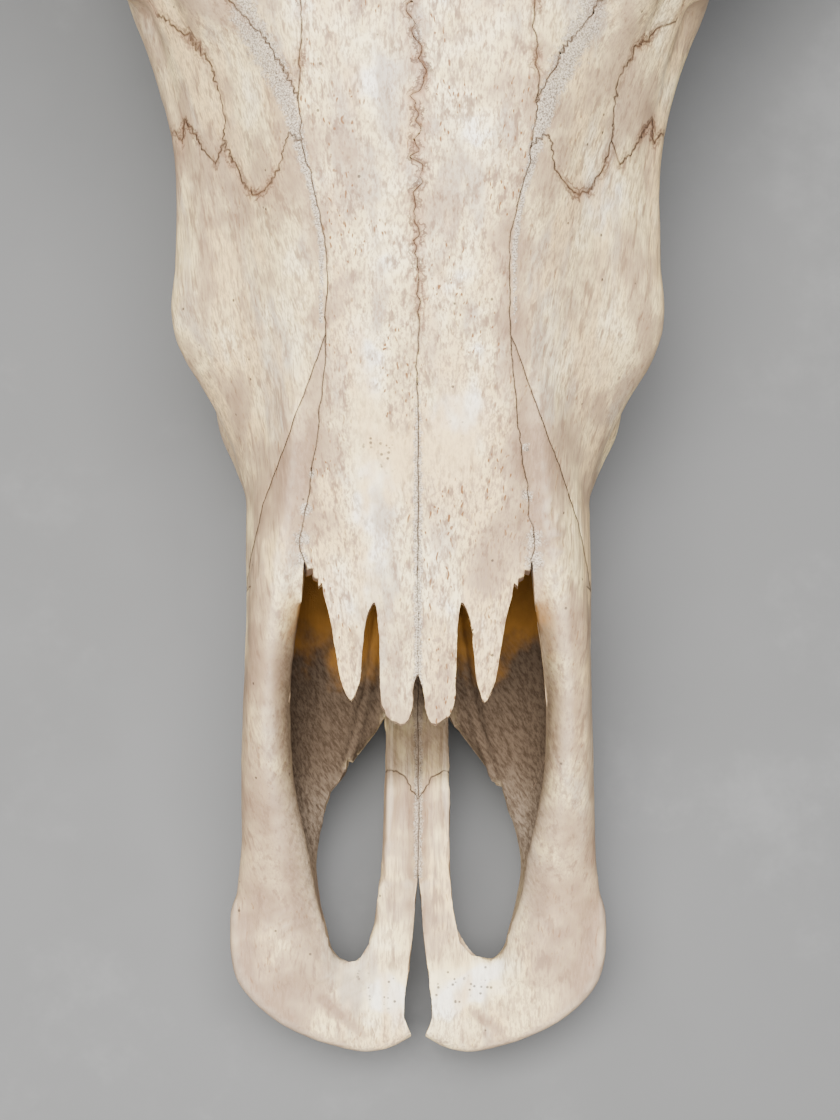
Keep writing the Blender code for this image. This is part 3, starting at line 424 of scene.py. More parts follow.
thin_shapes = [limb(VOMER)]
for side in SIDES.values():
    thin_shapes += [skin_through(MUZZLE, 3, mirrored=False, side=side), blade(side), limb(ROD, side),
                    limb(ROD_RIDGE, side), limb(SHELF_RIDGE, side)]
print("thin shapes of the muzzle:", len(thin_shapes))

# %% [markdown]
# ## The nose's free roof
# The roof is an arched plate only a few millimetres thick. It is made too long here. Its pointed tips
# are cut out of it later, when the nasal bones are parted from the rest.

# %% An arched plate that thins towards its tips
NOSE_TOP = ((102, 0, 97), (120, 0, 103), (142, 0, 110.5), (160, 0, 116.5), (200, 0, 131.5))
NOSE_SIDE = ((102, 30, 91), (120, 32, 97), (142, 35, 103.5), (160, 38, 108.5), (200, 31, 126.5))
NOSE_THICK = ((102, 3.2), (142, 4.6), (200, 7))


def nose_plate():
    """Height falls from the middle to the edge with |u|**2.2, for u from -1 to 1 across the nose."""
    ys = np.linspace(NOSE_TOP[0][0], NOSE_TOP[-1][0], 50)[:, None]
    middle, edge, thick = (along(line, ys[:, 0]) for line in (NOSE_TOP, NOSE_SIDE, NOSE_THICK))
    u = np.linspace(-1, 1, 45)[None, :]
    z = middle[:, 1:2] - (middle[:, 1:2] - edge[:, 1:2]) * np.abs(u) ** 2.2
    upper = np.stack([u * edge[:, 0:1], ys + 0 * u, z], axis=-1)
    lower = (upper - np.array((0, 0, 1)) * thick[:, None])[:, ::-1]
    return skin(np.concatenate([upper, lower], axis=1))


thin_shapes.append(nose_plate())
print("nose plate points:", len(thin_shapes[-1][0]))

# %% [markdown]
# ## The vault, the eye sockets and the base
# Behind the face come the broad forehead, the rims of the eye sockets, the cheek arches and the braincase
# with its joints for the neck. They are masses of the same kinds: a skin through lines, tubes for the
# arches and rims, and balls for the knobs.

# %% The lines of the vault
VAULT_CROWN = ((298, 0, 164), (330, 0, 181), (352, 0, 189.5), (380, 0, 199), (405, 0, 205),
               (425, 0, 207.5), (442, 0, 206), (458, 0, 199), (472, 0, 187), (484, 0, 170), (493, 0, 150))
VAULT_BROW = ((298, 40, 158), (330, 48, 174), (352, 54, 183), (380, 60, 189), (405, 60, 194),
              (425, 58, 197), (442, 56, 194), (458, 53, 186), (472, 50, 174), (484, 45, 160),
              (493, 36, 142))
VAULT_EDGE = ((298, 58, 134), (330, 76, 153), (345, 88, 160), (362, 100, 165), (382, 106, 167),
              (398, 106, 163), (412, 97, 163), (425, 88, 168), (442, 86, 172), (458, 83, 162),
              (472, 79, 148), (484, 72, 138), (493, 56, 124))
VAULT_EAVE = ((298, 64, 118), (330, 76, 140), (345, 86, 148), (362, 96, 152), (382, 101, 153),
              (398, 100, 149), (412, 90, 147), (425, 79, 146), (442, 74, 140), (458, 75, 132),
              (472, 82, 122), (484, 80, 112), (493, 60, 102))
VAULT_WALL = ((330, 58, 124), (345, 47, 124), (362, 42, 124), (382, 42, 124), (398, 46, 124),
              (412, 52, 124), (425, 57, 122), (442, 60, 116), (458, 64, 110), (472, 76, 100),
              (484, 74, 92), (493, 54, 84))
VAULT_LOW = ((330, 44, 96), (362, 30, 98), (382, 29, 97), (412, 38, 92), (442, 49, 84), (472, 57, 76),
             (493, 46, 68))
VAULT_BASE_SIDE = ((330, 20, 82), (362, 17, 84), (412, 19, 76), (442, 21, 68), (472, 24, 62),
                   (493, 26, 58))
VAULT_BASE = ((330, 0, 80), (362, 0, 84), (412, 0, 74), (442, 0, 66), (472, 0, 61), (493, 0, 62))
VAULT = (VAULT_CROWN, VAULT_BROW, VAULT_EDGE, VAULT_EAVE, VAULT_WALL, VAULT_LOW, VAULT_BASE_SIDE,
         VAULT_BASE)

# %% Rims, arches and knobs of one side
ORBIT_RING = ((91, 343, 134), (96, 351, 155), (104, 371, 166), (109, 392, 159), (108.5, 402, 138),
              (105, 394, 113), (100, 371, 103), (94, 350, 111))
CHEEK_BONE = ((236, 77, 86, 4, 6), (262, 74, 93, 6, 8), (292, 72.5, 101, 7.5, 12), (322, 79, 100, 8, 16),
              (350, 90, 97, 7.5, 14), (376, 97, 96, 7, 11), (402, 101, 101, 5.5, 9), (426, 100, 104, 5, 8),
              (448, 95, 103, 6, 8), (468, 84, 100, 8, 9))
CHEEK_BONE_FOOT = ((262, 65, 72, 4, 5), (292, 70, 79, 6, 10), (322, 74, 79, 7, 12), (350, 76, 84, 7, 11),
                   (376, 84, 90, 5, 7))
SPUR = ((482, 60, 84, 17, 9), (483, 57, 58, 15, 8.5), (482, 54, 34, 11.5, 7), (479, 51, 12, 8, 6),
        (477, 50, -8, 7, 5.5))
PTERYGOID = ((300, 27, 58, 5, 15), (326, 23, 68, 4, 17), (356, 20, 76, 3, 17), (386, 17, 82, 2.5, 13),
             (398, 16, 86, 2.5, 8))
HORN_CORE = ((425, 45, 177, 35, 26), (446, 80, 172, 38, 30), (452, 112, 170, 37, 30.5),
             (456, 134, 168, 33, 26.5))
NUCHAL_CREST = ((466, 0, 193, 6, 7), (467, 32, 188, 6, 7), (468, 60, 170, 6, 7), (470, 77, 146, 6, 7),
                (470, 81, 120, 7, 7), (472, 76, 98, 8, 7))
EAR_TUBE = ((452, 60, 84, 9, 9), (458, 76, 94, 8, 8), (462, 88, 101, 7.5, 7.5))
KNOBS = {
    "jaw_hinge": ((80, 446, 92), (22, 16, 8), (0, 0, 0)),
    "ear_base": ((75, 468, 88), (15, 13, 19), (0, 0, 0)),
    "bulla": ((44, 448, 62), (12, 19, 17), (14, 0, 0)),
    "condyle": ((27, 494, 57), (16, 18, 25), (20, 26, 0)),
    "tubercle": ((13, 456, 60), (9, 16, 9), (0, 0, 0)),
    "cheek_tuber": ((50, 316, 60), (12, 18, 18), (0, 0, 0)),
}
OCCIPUT = ((0, 478, 114), (76, 18, 52))

thick_shapes = [skin_through(VAULT, 4, mirrored=True), ball(*OCCIPUT), ball((0, 490, 152), (11, 9, 15))]
for side in SIDES.values():
    thick_shapes.append(ring_tube(ORBIT_RING, 6.2, side))
    thick_shapes += [limb(path, side) for path in (CHEEK_BONE, CHEEK_BONE_FOOT, SPUR, HORN_CORE,
                                                   NUCHAL_CREST, EAR_TUBE)]
    thick_shapes += [ball(centre, radii, turn, side) for centre, radii, turn in KNOBS.values()]
    thin_shapes.append(limb(PTERYGOID, side))
print("thick shapes:", len(thick_shapes))

# %% [markdown]
# ## Melting the masses together
# Clay modellers press lumps together and then stroke the joins away. The thick masses are melted first and
# stroked hard. The thin plates join them afterwards and get only a light touch, or they would vanish.

# %% One skin for the whole skull
def gathered(obj, other):
    """Puts the other object's mesh into the first one's, as loose parts."""
    work = bmesh.new()
    work.from_mesh(obj.data)
    work.from_mesh(other.data)
    work.to_mesh(obj.data)
    work.free()
    drop(other)


head = solid("head", thick_shapes)
gathered(head, face)
melt(head, 2.4)
ease(head, 26)
gathered(head, solid("thin", thin_shapes))
melt(head, FINE)
ease(head, 8)
print("skull skin:", len(head.data.vertices), "points")

# %% [markdown]
# ## Hollows
# The eye sockets, the opening of the throat, the spinal canal and the holes for nerves and vessels go
# right into the bone. Balls and tubes of the right size are taken away. The skin is melted once more
# afterwards, so that its cells stay even along the new rims.

# %% Scooping with balls and tubes
CHOANA = ((302, 0, 75, 15, 12), (322, 0, 74, 16, 13), (342, 0, 68, 16, 15), (366, 0, 58, 16, 24))
FORAMEN_MAGNUM = ((452, 0, 90, 14, 12), (480, 0, 84, 18, 17), (520, 0, 76, 21, 21))
SCOOPS = {
    "eye_socket": ((88, 372, 134), (46, 27, 27), (0, -8, 10)),
    "cheek_hole": ((66, 172, 46), (12, 11, 5), (0, 0, 35)),
    "brow_hole": ((46, 354, 186), (3, 4.5, 16), (0, -10, 0)),
    "tear_hole": ((86, 350, 128), (4, 12, 2.6), (0, 0, 10)),
    "ear_hole": ((90, 463, 102), (9, 4, 4), (0, -20, 10)),
    "palate_hole": ((22, 286, 36), (3.2, 5, 12), (20, 0, 0)),
}
NERVE_HOLES = {
    "optic": ((41, 390, 120), (15, 4.5, 4), (0, 0, -25)),
    "round": ((38, 404, 100), (15, 6, 5), (0, 0, -25)),
    "condylar": ((30, 474, 62), (5, 4, 12), (0, 0, 0)),
}

for holes, tubes in ((SCOOPS, (CHOANA, FORAMEN_MAGNUM)), (NERVE_HOLES, ())):
    shapes = [limb(path) for path in tubes]
    shapes += [ball(*hole, side) for hole in holes.values() for side in SIDES.values()]
    scoops = solid("scoops", shapes)
    boolean(head, scoops, "DIFFERENCE")
    drop(scoops)
melt(head, FINE)
ease(head, 6)
print("hollowed skin:", len(head.data.vertices), "points")

# %% [markdown]
# ## Slit and fissures of the muzzle
# In the dry skull two long holes and a slit show right through the muzzle, and their rims are thin and
# chipped. A remesh would round such rims, so they are cut here, after the last melting, with walls that
# wander a little.

# %% Prisms with ragged walls
WALL_STEP = 0.7
SLIT = ((2.4, -6), (2.5, 8.5), (3.4, 10.5), (4.6, 14), (4.4, 20), (3.3, 28), (1.9, 39.6), (0.9, 52.8),
        (0, 61), (-0.9, 52.8), (-1.9, 39.6), (-3.3, 28), (-4.6, 20), (-4.8, 14), (-3.4, 10.5), (-2.5, 8.5),
        (-2.4, -6))
LEFT_FISSURE = ((9.8, 117), (10.2, 100), (10.4, 79.5), (10.7, 62.8), (11.5, 50.5), (14, 38.6),
                (17.7, 34.5), (21.9, 33.7), (25.5, 35.4), (28.4, 41), (31, 54), (32.6, 66), (32, 76),
                (29.8, 85.9), (28.4, 91.3), (24.9, 92.3), (22.2, 97.7), (19.5, 102.5), (16.2, 104.6),
                (13.3, 109.9))
RIGHT_FISSURE = ((-11.2, 115), (-15.6, 107.2), (-18.8, 102.5), (-20.5, 101.8), (-21.2, 98.9),
                 (-23.6, 99.8), (-24.4, 96.2), (-26.1, 93.3), (-29.4, 89.3), (-31.8, 81.8), (-32.8, 72),
                 (-32.6, 62), (-31.4, 48.1), (-29.2, 38.6), (-26.6, 34.4), (-23.2, 32.6), (-20, 33),
                 (-16.5, 38.3), (-13.5, 54.6), (-12.4, 71.1), (-11.4, 90))
SLIT_ROUGH = ((-6, 0.3), (60, 0.35))
FISSURE_ROUGH = ((30, 0.2), (80, 0.45), (120, 0.7))


def divided(outline, step):
    """Points along the straight sides of a closed outline, about step apart."""
    ends = np.roll(outline, -1, axis=0)
    counts = np.maximum(np.ceil(np.linalg.norm(ends - outline, axis=1) / step).astype(int), 1)
    side = np.repeat(np.arange(len(outline)), counts)
    share = (np.arange(counts.sum()) - np.repeat(np.cumsum(counts) - counts, counts)) / counts[side]
    return outline[side] + (ends - outline)[side] * share[:, None]


def ragged(outline, low, high, axes, rough, seed, side=1, smooth=False, layer=3.0, teeth=0.0):
    """A prism whose wall points move along the outline's normal by rough * (0.6*n8 + 0.5*n3.4 + 0.35*n1.7).

    nS is the noise of S millimetres, and rough is knots (y, amount). teeth adds a triangle wave of about that
    height and 2.6 mm long, which noise disturbs. low and high may change along the outline."""
    outline = np.array(outline, float)
    if smooth:
        outline = closed_curve(outline, 6 * len(outline))
    outline = divided(outline, WALL_STEP)
    low, high = np.broadcast_to(low, len(outline)), np.broadcast_to(high, len(outline))
    layers = max(round(np.max(high - low) / layer), 1) + 1
    depth = low + (high - low) * np.linspace(0, 1, layers)[:, None]
    flat = np.broadcast_to(outline, (layers, *outline.shape))
    grid = np.concatenate([flat, depth[..., None]], axis=-1)
    where = grid.reshape(-1, 3)
    wander = 0.6 * noise(where, 8, seed) + 0.5 * noise(where, 3.4, seed + 1)
    wander += 0.35 * noise(where, 1.7, seed + 2)
    y = outline[:, 1 if axes == "xy" else 0]
    wander = wander.reshape(layers, -1) * along(rough, y)[:, 0]
    if teeth:
        run = np.cumsum(np.linalg.norm(np.diff(outline, axis=0, prepend=outline[-1:]), axis=1))
        wave = (run / 2.6 + 1.5 * noise(where, 7, seed + 3).reshape(layers, -1)) % 1
        reach = teeth * np.clip(0.75 + 1.2 * noise(where, 5, seed + 4).reshape(layers, -1), 0.1, 1.6)
        wander = wander + reach * (np.abs(wave - 0.5) * 4 - 1)
    normal = grown(outline, 1) - outline
    grid[..., :2] += normal * wander[..., None]
    if axes == "yz":
        grid = grid[..., [2, 0, 1]]
    return skin(grid * (side, 1, 1))


for hole, low, high, rough, seed in ((SLIT, 20, 60, SLIT_ROUGH, 191),
                                     (LEFT_FISSURE, 30, 50, FISSURE_ROUGH, 195),
                                     (RIGHT_FISSURE, 30, 50, FISSURE_ROUGH, 199)):
    voids = solid("voids", [ragged(hole, low, high, "xy", rough, seed)])
    boolean(head, voids, "DIFFERENCE")
    drop(voids)
print("skin after the slit and the fissures:", len(head.data.vertices), "points")

# %% [markdown]
# ## Uneven bone
# No bone surface is even. Three noises of different size raise and sink it, and the bone thins to broken
# edges in a few places of the muzzle. A shallow valley marks the midline of the nose. Two measures are
# kept for the finish: how deep a point lies among its wide surroundings, and how much it sticks out of
# its near ones.

# %% Swells, grooves and crumbling
BROKEN = ((-43, 160, 100, 11, 0.8), (-47, 150, 92, 8, 0.7), (40, 170, 108, 11, 0.8),
          (45, 152, 100, 8, 0.6), (-33, 70, 40, 6, 0.4), (-36, 206, 124, 7, 0.5), (37, 208, 124, 6, 0.4))
BELOW_THE_FLOOR = ((-300, -50), (300, -50), (300, 600), (-300, 600))
GROOVED = ((-22, 22, 40, 10), (24, 20, 40, 9), (-45, 46, 44, 9), (44, 50, 46, 8))


def near(points, x, y, z, radius):
    """A soft spot: exp(-(distance / radius)**2)."""
    return np.exp(-((points - (x, y, z)) ** 2).sum(axis=1) / radius**2)


def averaged(values, edges, rounds):
    """Each round gives a point half its own value and half the mean of its neighbours."""
    a, b = edges.T
    count = len(values)
    degree = np.maximum(np.bincount(edges.ravel(), minlength=count), 1)[:, None]
    for _ in range(rounds):
        total = [np.bincount(a, column[b], count) + np.bincount(b, column[a], count) for column in values.T]
        values = 0.5 * values + 0.5 * np.column_stack(total) / degree
    return values


points, normals = read_points(head), read_normals(head)
swell = 0.42 * noise(points, 31, 1) + 0.17 * noise(points, 9, 2) + 0.08 * noise(points, 3.6, 3)
crumble = sum(depth * near(points, *spot) for *spot, depth in BROKEN)
swell -= crumble * np.clip(noise(points, 2.7, 4) + 0.25, 0, 1)
slant = points[:, 0] * 0.5 * np.sign(points[:, 0]) + points[:, 1] * 0.86 + 1.2 * noise(points, 6, 5)
grooved = sum(near(points, *spot) for spot in GROOVED)
swell -= 0.5 * grooved * np.clip(np.sin(slant * 2 * math.pi / 4.6), 0, 1) ** 2
on_nose = np.clip((points[:, 1] - 118) / 20, 0, 1) * np.clip((350 - points[:, 1]) / 40, 0, 1)
on_nose *= normals[:, 2] > 0.5
swell -= 0.7 * on_nose * np.exp(-(points[:, 0] / 2.6) ** 2)
points += normals * swell[:, None]
write_points(head, points)
floor_box = solid("floor_box", [prism(BELOW_THE_FLOOR, -60, 0)])
boolean(head, floor_box, "DIFFERENCE")
drop(floor_box)
print("swell from", swell.min().round(2), "to", swell.max().round(2), "mm")

# %% Depth among the surroundings, kept as attributes
def keep_attribute(mesh, name, values):
    attribute = mesh.attributes.get(name) or mesh.attributes.new(name, "FLOAT", "POINT")
    attribute.data.foreach_set("value", np.asarray(values, np.float32))


def read_attribute(mesh, name):
    values = np.empty(len(mesh.vertices), np.float32)
    mesh.attributes[name].data.foreach_get("value", values)
    return values.astype(float)


SHELF_HEIGHT = 37
# Painted shade on the inner slopes of the side bars, by place along the head (y, share).
SLOPE_SHADE = ((22, 0), (34, 0.5), (54, 0.8), (68, 0.87), (85, 0.9), (116, 0.97), (140, 0.8), (150, 0))


def in_the_nose(points, normals):
    """How much a point lies in the nose, a stain darkened by painted shade, or on a rim's inner slope,
    painted as shade.
    """
    x, y, z = np.abs(points[:, 0]), points[:, 1], points[:, 2]
    roof, wall = along(CAVITY_ROOF, y)[:, 1], along(CAVITY_WALL, y)[:, 0]
    to_axis = np.column_stack([-points[:, 0], 0 * roof, (roof + 43) / 2 - z])
    to_axis /= np.maximum(np.linalg.norm(to_axis, axis=1), 1e-6)[:, None]
    inward = np.clip(((to_axis * normals).sum(axis=1) - 0.30) / 0.25, 0, 1)
    inward = np.maximum(inward, np.clip((normals[:, 2] - 0.1) / 0.3, 0, 1) * (z < 60))
    inside = (z > SHELF_HEIGHT) & (x < wall + 2.5) & (y > 40) & (y < 270)
    ceiling = np.minimum(roof + 3, 21.5 + 0.57 * y)
    below_roof = np.clip((ceiling - z) / np.interp(y, (110, 150), (13, 2)), 0, 1)
    from_front = np.where(x < 12.5, np.interp(y, (89, 95, 112, 121), (0, 0.75, 0.87, 1)), (y - 44) / 26)
    inside = inside * inward * below_roof * np.clip(from_front, 0, 1)
    rim, top = along(RIM_INNER, y)[:, 0], along(BAR_TOP, y)[:, 0]
    slope = np.clip((top + 1 - x) / (top + 1 - rim), 0, 1) * np.clip((x - rim + 2.5) / 2, 0, 1)
    slope *= np.clip((normals[:, 2] + 0.1) / 0.3, 0, 1) * (z > SHELF_HEIGHT)
    shade = np.interp(y, *zip(*SLOPE_SHADE))
    return np.maximum(inside, slope * shade)


points, normals, edges = read_points(head), read_normals(head), read_edges(head)
near_mean = averaged(points, edges, 4)
wide_mean = averaged(near_mean, edges, 60)
# ridge leads a painted highlight and wear, hollow painted shade and dirt, and cavity the nose's stain and
# painted shade.
keep_attribute(head.data, "ridge", ((points - near_mean) * normals).sum(axis=1))
keep_attribute(head.data, "hollow", ((wide_mean - points) * normals).sum(axis=1))
inside = in_the_nose(points, normals)
keep_attribute(head.data, "cavity", averaged(inside[:, None], edges, 3)[:, 0])
print("points inside the nose:", int((inside > 0.5).sum()))

# %% [markdown]
# ## Sutures
# The bones of a skull meet along sutures. Some are straight and thin, as between the nasals and the
# jaws, and others run in tight zigzags, as round the tear bone. Each bone is cut out with a prism whose walls
# wander by a few noises. What is left over takes the same ragged line, so neighbours always match.

# %% The wall along the midline
LEFT_HALF = ((0, -30), (0, 540), (200, 540), (200, -30))
MIDLINE_ROUGH = ((-30, 0.2), (60, 0.3), (150, 0.45), (215, 0.8), (240, 2.6), (540, 3.0))
midline = ragged(LEFT_HALF, -40, 280, "xy", MIDLINE_ROUGH, 11, layer=8)
left_half = solid("left_half", [midline], wall_paint)
print("the midline wall has", len(left_half.data.vertices), "points")

# %% The outlines of the bones from above, as (x, y), and from the side, as (y, z)
NASAL = ((-6, 345), (-6, 290), (-6, 235), (-6, 180), (-6, 124), (0, 121), (1.4, 117), (2.4, 109.4),
         (3.3, 107.2), (4.1, 106), (4.9, 106.5), (5.7, 105.6), (6.7, 106.5), (7.7, 106.2), (8.6, 107.4),
         (9.4, 107.5), (10.3, 109.6), (11.2, 111.2), (11.8, 116), (12.2, 126), (12.6, 136), (14, 143),
         (15.6, 140), (17.6, 128), (19, 117.5), (21.3, 113), (23.6, 117), (26.4, 130), (28.8, 142),
         (30, 146.2), (30.5, 149.4), (31.5, 148.4), (32, 151.6), (33, 150.6), (33.8, 153.8), (34.9, 153.4),
         (35.8, 156.5), (37, 161), (35.2, 172), (32.4, 188), (30, 205), (28.6, 222), (28.2, 240),
         (30, 257), (34, 272), (36.4, 290), (35.4, 304), (35, 318), (32, 330), (24, 340), (14, 346),
         (6, 344))
NOSE_OPENING = ((-1, 90), (42.2, 90), (41.6, 116), (39.6, 131), (37.2, 145), (36.2, 156.4), (33, 153),
                (-1, 152))
NOSE_OPENING_FLOOR = ((90, 76), (160, 92))
LACRIMAL = ((34, 276), (37, 290), (42, 300), (47.5, 309.5), (56, 320), (66, 333), (76, 350), (118, 352),
            (112, 338), (90, 334), (79, 326), (67, 312), (61.8, 298), (61, 286), (58, 278), (49.5, 267.5),
            (43, 271.5), (39.5, 280.5))
PREMAXILLA = ((152, 150), (152, 93), (120, 68), (82, 40), (64, 20), (-10, 20), (-10, 150))
PREMAXILLA_WEDGE = ((-6, 151), (56.5, 151), (55.4, 155), (53.6, 161.5), (49.5, 175.5), (44.3, 187),
                    (39, 198.5), (34.1, 210), (29.8, 220), (27, 226), (-6, 226))
PREMAXILLA_ROD = ((-6, 20), (15.5, 20), (15.5, 96), (10.5, 95.6), (7.5, 95.5), (4.5, 93.8), (2.3, 90),
                  (0, 87), (-6, 87))
ZYGOMATIC = ((302, 128), (302, 104), (306, 88), (316, 72), (340, 56), (390, 70), (432, 88), (444, 122),
             (424, 130), (402, 137), (360, 137), (335, 137), (318, 150), (306, 140))
ZYGOMATIC_FRONT = ((100, 312), (100, 300), (79.7, 298.5), (76.4, 293), (75.8, 299.5), (73, 295),
                   (68.5, 286.5), (64.5, 281.5), (61, 287), (59, 300), (61, 312))
PALATINE = ((290, 20), (290, 88), (330, 88), (404, 86), (404, 20))
MAXILLA = ((40, -5), (40, 128), (160, 128), (268, 180), (286, 168), (300, 141), (316, 120), (330, 104),
           (338, 70), (338, -5))
FRONTAL = ((268, 230), (268, 150), (300, 142), (344, 138), (352, 128), (404, 128), (420, 134), (440, 136),
           (462, 150), (476, 200), (476, 230))
HORN_CORE_SIDE = ((406, 129), (446, 134), (474, 139), (520, 141), (520, 229), (406, 229))
TEMPORAL = ((414, 64), (414, 124), (440, 124), (470, 126), (478, 108), (474, 64))
NASAL_CROWN = NOSE_TOP[:-1] + CROWN[2:]
NASAL_ROUGH = ((100, 1.3), (111, 0.9), (117, 0.4), (150, 0.4), (158, 1.3), (172, 1.0), (200, 0.8),
               (260, 1.1), (300, 1.6), (347, 2.4))


def plan_prism(outline, line, below, above, rough, seed, side, teeth=0.0):
    """A ragged prism seen from above, from a depth below to a height above a line of the head."""
    outline = np.array(outline, float)
    smooth = divided(closed_curve(outline, 6 * len(outline)), WALL_STEP)
    middle = along(line, smooth[:, 1])[:, -1]
    return ragged(outline, middle - below, middle + above, "xy", rough, seed, side, smooth=True, teeth=teeth)


def side_prism(outline, inner, outer, rough, seed, side, teeth=0.0):
    """A ragged prism seen from the side, from one distance from the midline to another."""
    return ragged(outline, inner, outer, "yz", ((0, rough), (600, rough)), seed, side, teeth=teeth)


REGIONS = {
    "nasal": lambda s: [plan_prism(NASAL, NASAL_CROWN, 17, 14, NASAL_ROUGH, 21 + s, s)],
    "premaxilla": lambda s: [
        side_prism(PREMAXILLA, -6, 90, 0.45, 31 + s, s),
        ragged(PREMAXILLA_WEDGE, 80, 160, "xy", ((150, 0.4), (230, 0.4)), 35 + s, s),
        ragged(PREMAXILLA_ROD, 20, 60, "xy", ((20, 0.4), (100, 0.4)), 33 + s, s, teeth=0.3)],
    "lacrimal": lambda s: [
        plan_prism(LACRIMAL, CHEEK_TOP, 22, 46, ((260, 0.9), (360, 1.2)), 41 + s, s, 0.75)],
    "zygomatic": lambda s: [
        side_prism(ZYGOMATIC, 62, 130, 1.5, 51 + s, s, 0.9),
        ragged(ZYGOMATIC_FRONT, 96, 152, "xy", ((280, 0.5), (320, 0.5)), 53 + s, s, teeth=0.5)],
    "palatine": lambda s: [side_prism(PALATINE, -6, 40, 1.0, 61 + s, s)],
    "maxilla": lambda s: [side_prism(MAXILLA, -6, 100, 1.2, 71 + s, s, 0.6)],
    "frontal": lambda s: [
        side_prism(FRONTAL, -6, 130, 1.4, 81 + s, s, 0.8),
        side_prism(HORN_CORE_SIDE, 76, 150, 1.2, 83 + s, s)],
    "temporal": lambda s: [side_prism(TEMPORAL, 60, 130, 1.2, 91 + s, s)],
}
print("paired bones:", ", ".join(REGIONS))

# %% Cutting the bones out, one pair after the other
def carve(bone, side):
    """Takes a region out of the head. A left bone ends at the midline wall, and its twin takes the rest."""
    shapes = REGIONS[bone](side)
    region = solid("region", shapes[:1], wall_paint)
    for shape in shapes[1:]:
        more = solid("more", [shape], wall_paint)
        boolean(region, more, "UNION")
        drop(more)
    if side > 0:
        boolean(region, left_half, "INTERSECT")
    made = bpy.data.objects.new("cut_" + bone, head.data.copy())
    bpy.context.scene.collection.objects.link(made)
    boolean(made, region, "INTERSECT")
    boolean(head, region, "DIFFERENCE")
    drop(region)
    return made


cut_bones = {}
for bone in REGIONS:
    for side_name, side in SIDES.items():
        cut_bones[f"{bone}_{side_name}"] = carve(bone, side)
    if bone == "nasal":
        for side in SIDES.values():
            outline = np.array(NOSE_OPENING) * (side, 1)
            void = solid("void", [prism(outline, along(NOSE_OPENING_FLOOR, outline[:, 1])[:, 0], 150)])
            boolean(head, void, "DIFFERENCE")
            drop(void)
cut_bones["braincase"] = head
drop(left_half)
print({name: len(obj.data.vertices) for name, obj in cut_bones.items()})

# %% [markdown]
# ## From cut meshes to finished bones
# A ragged cut leaves crumbs, so only the largest part of each bone is kept. The cut walls then move in
# a little, which opens a hair-thin gap, and the rim is pressed down so that the suture catches a shadow.
# Each point also learns how far it lies from the nearest suture, because stains follow the sutures.

# %% Triangles, loose parts and the distance from a suture
HALF_GAP = 0.08
RIM_PRESS, RIM_WIDTH = 0.16, 0.9
SEAM_REACH, SEAM_ROUNDS = 14, 16
BEHIND_THE_TIPS = 150


def read_triangles(obj):
    """The corners of every triangle and whether it is a cut wall."""
    mesh = obj.data
    mesh.calc_loop_triangles()
    corners = np.empty(len(mesh.loop_triangles) * 3, np.int32)
    mesh.loop_triangles.foreach_get("vertices", corners)
    slots = np.empty(len(mesh.loop_triangles), np.int32)
    mesh.loop_triangles.foreach_get("material_index", slots)
    is_wall = np.array([paint is not None and paint.name.startswith("wall") for paint in mesh.materials])
    return corners.reshape(-1, 3).astype(np.int64), is_wall[slots]


def loose_parts(count, edges):
    """One number for each part: every point takes the lowest number of its neighbours, again and again."""
    label = np.arange(count)
    while True:
        lowest = np.minimum(label[edges[:, 0]], label[edges[:, 1]])
        lower = label.copy()
        np.minimum.at(lower, edges[:, 0], lowest)
        np.minimum.at(lower, edges[:, 1], lowest)
        lower = lower[lower]
        if (lower == label).all():
            return label
        label = lower


def edges_of(triangles):
    pairs = np.sort(np.concatenate([triangles[:, :2], triangles[:, 1:], triangles[:, ::2]]), axis=1)
    return np.unique(pairs, axis=0)


def corner_normals(points, triangles):
    """Unit normals at the points: the cross products of the triangles' sides are summed at their corners."""
    a, b, c = points[triangles].transpose(1, 0, 2)
    faces = np.cross(b - a, c - a)
    total = np.column_stack([
        sum(np.bincount(triangles[:, k], faces[:, i], len(points)) for k in range(3)) for i in range(3)])
    return total / np.maximum(np.linalg.norm(total, axis=1), 1e-12)[:, None]


def distance_along(points, edges, sources):
    """Distance over the surface from the sources: d(b) = min(d(b), d(a) + |ab|), relaxed in rounds."""
    distance = np.where(sources, 0.0, float(SEAM_REACH))
    length = np.linalg.norm(points[edges[:, 0]] - points[edges[:, 1]], axis=1)
    for _ in range(SEAM_ROUNDS):
        a, b = edges.T
        reach_b, reach_a = distance[a] + length, distance[b] + length
        np.minimum.at(distance, b, reach_b)
        np.minimum.at(distance, a, reach_a)
    return distance


def mesh_from(name, points, triangles):
    """A smooth mesh in metres, in the frame of the part, from points in skull millimetres and triangles."""
    mesh = bpy.data.meshes.new(name)
    mesh.vertices.add(len(points))
    mesh.loops.add(triangles.size)
    mesh.polygons.add(len(triangles))
    mesh.vertices.foreach_set("co", ((points + SHIFT) * MM).astype(np.float32).ravel())
    mesh.loops.foreach_set("vertex_index", triangles.astype(np.int32).ravel())
    mesh.polygons.foreach_set("loop_start", np.arange(0, triangles.size, triangles.shape[1], dtype=np.int32))
    mesh.update(calc_edges=True)
    mesh.validate()
    mesh.shade_smooth()
    mesh.set_sharp_from_angle(angle=math.radians(60))
    return mesh


def piece(name, mesh, finish, replaced=()):
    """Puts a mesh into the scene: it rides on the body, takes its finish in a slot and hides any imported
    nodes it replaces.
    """
    mesh.materials.clear()
    mesh.materials.append(finish)
    obj = bpy.data.objects.new(name, mesh)
    bpy.context.scene.collection.objects.link(obj)
    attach(obj, "root")
    if replaced:
        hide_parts(*replaced)
    return obj


print("a gap of", 2 * HALF_GAP, "mm stays open along each suture")
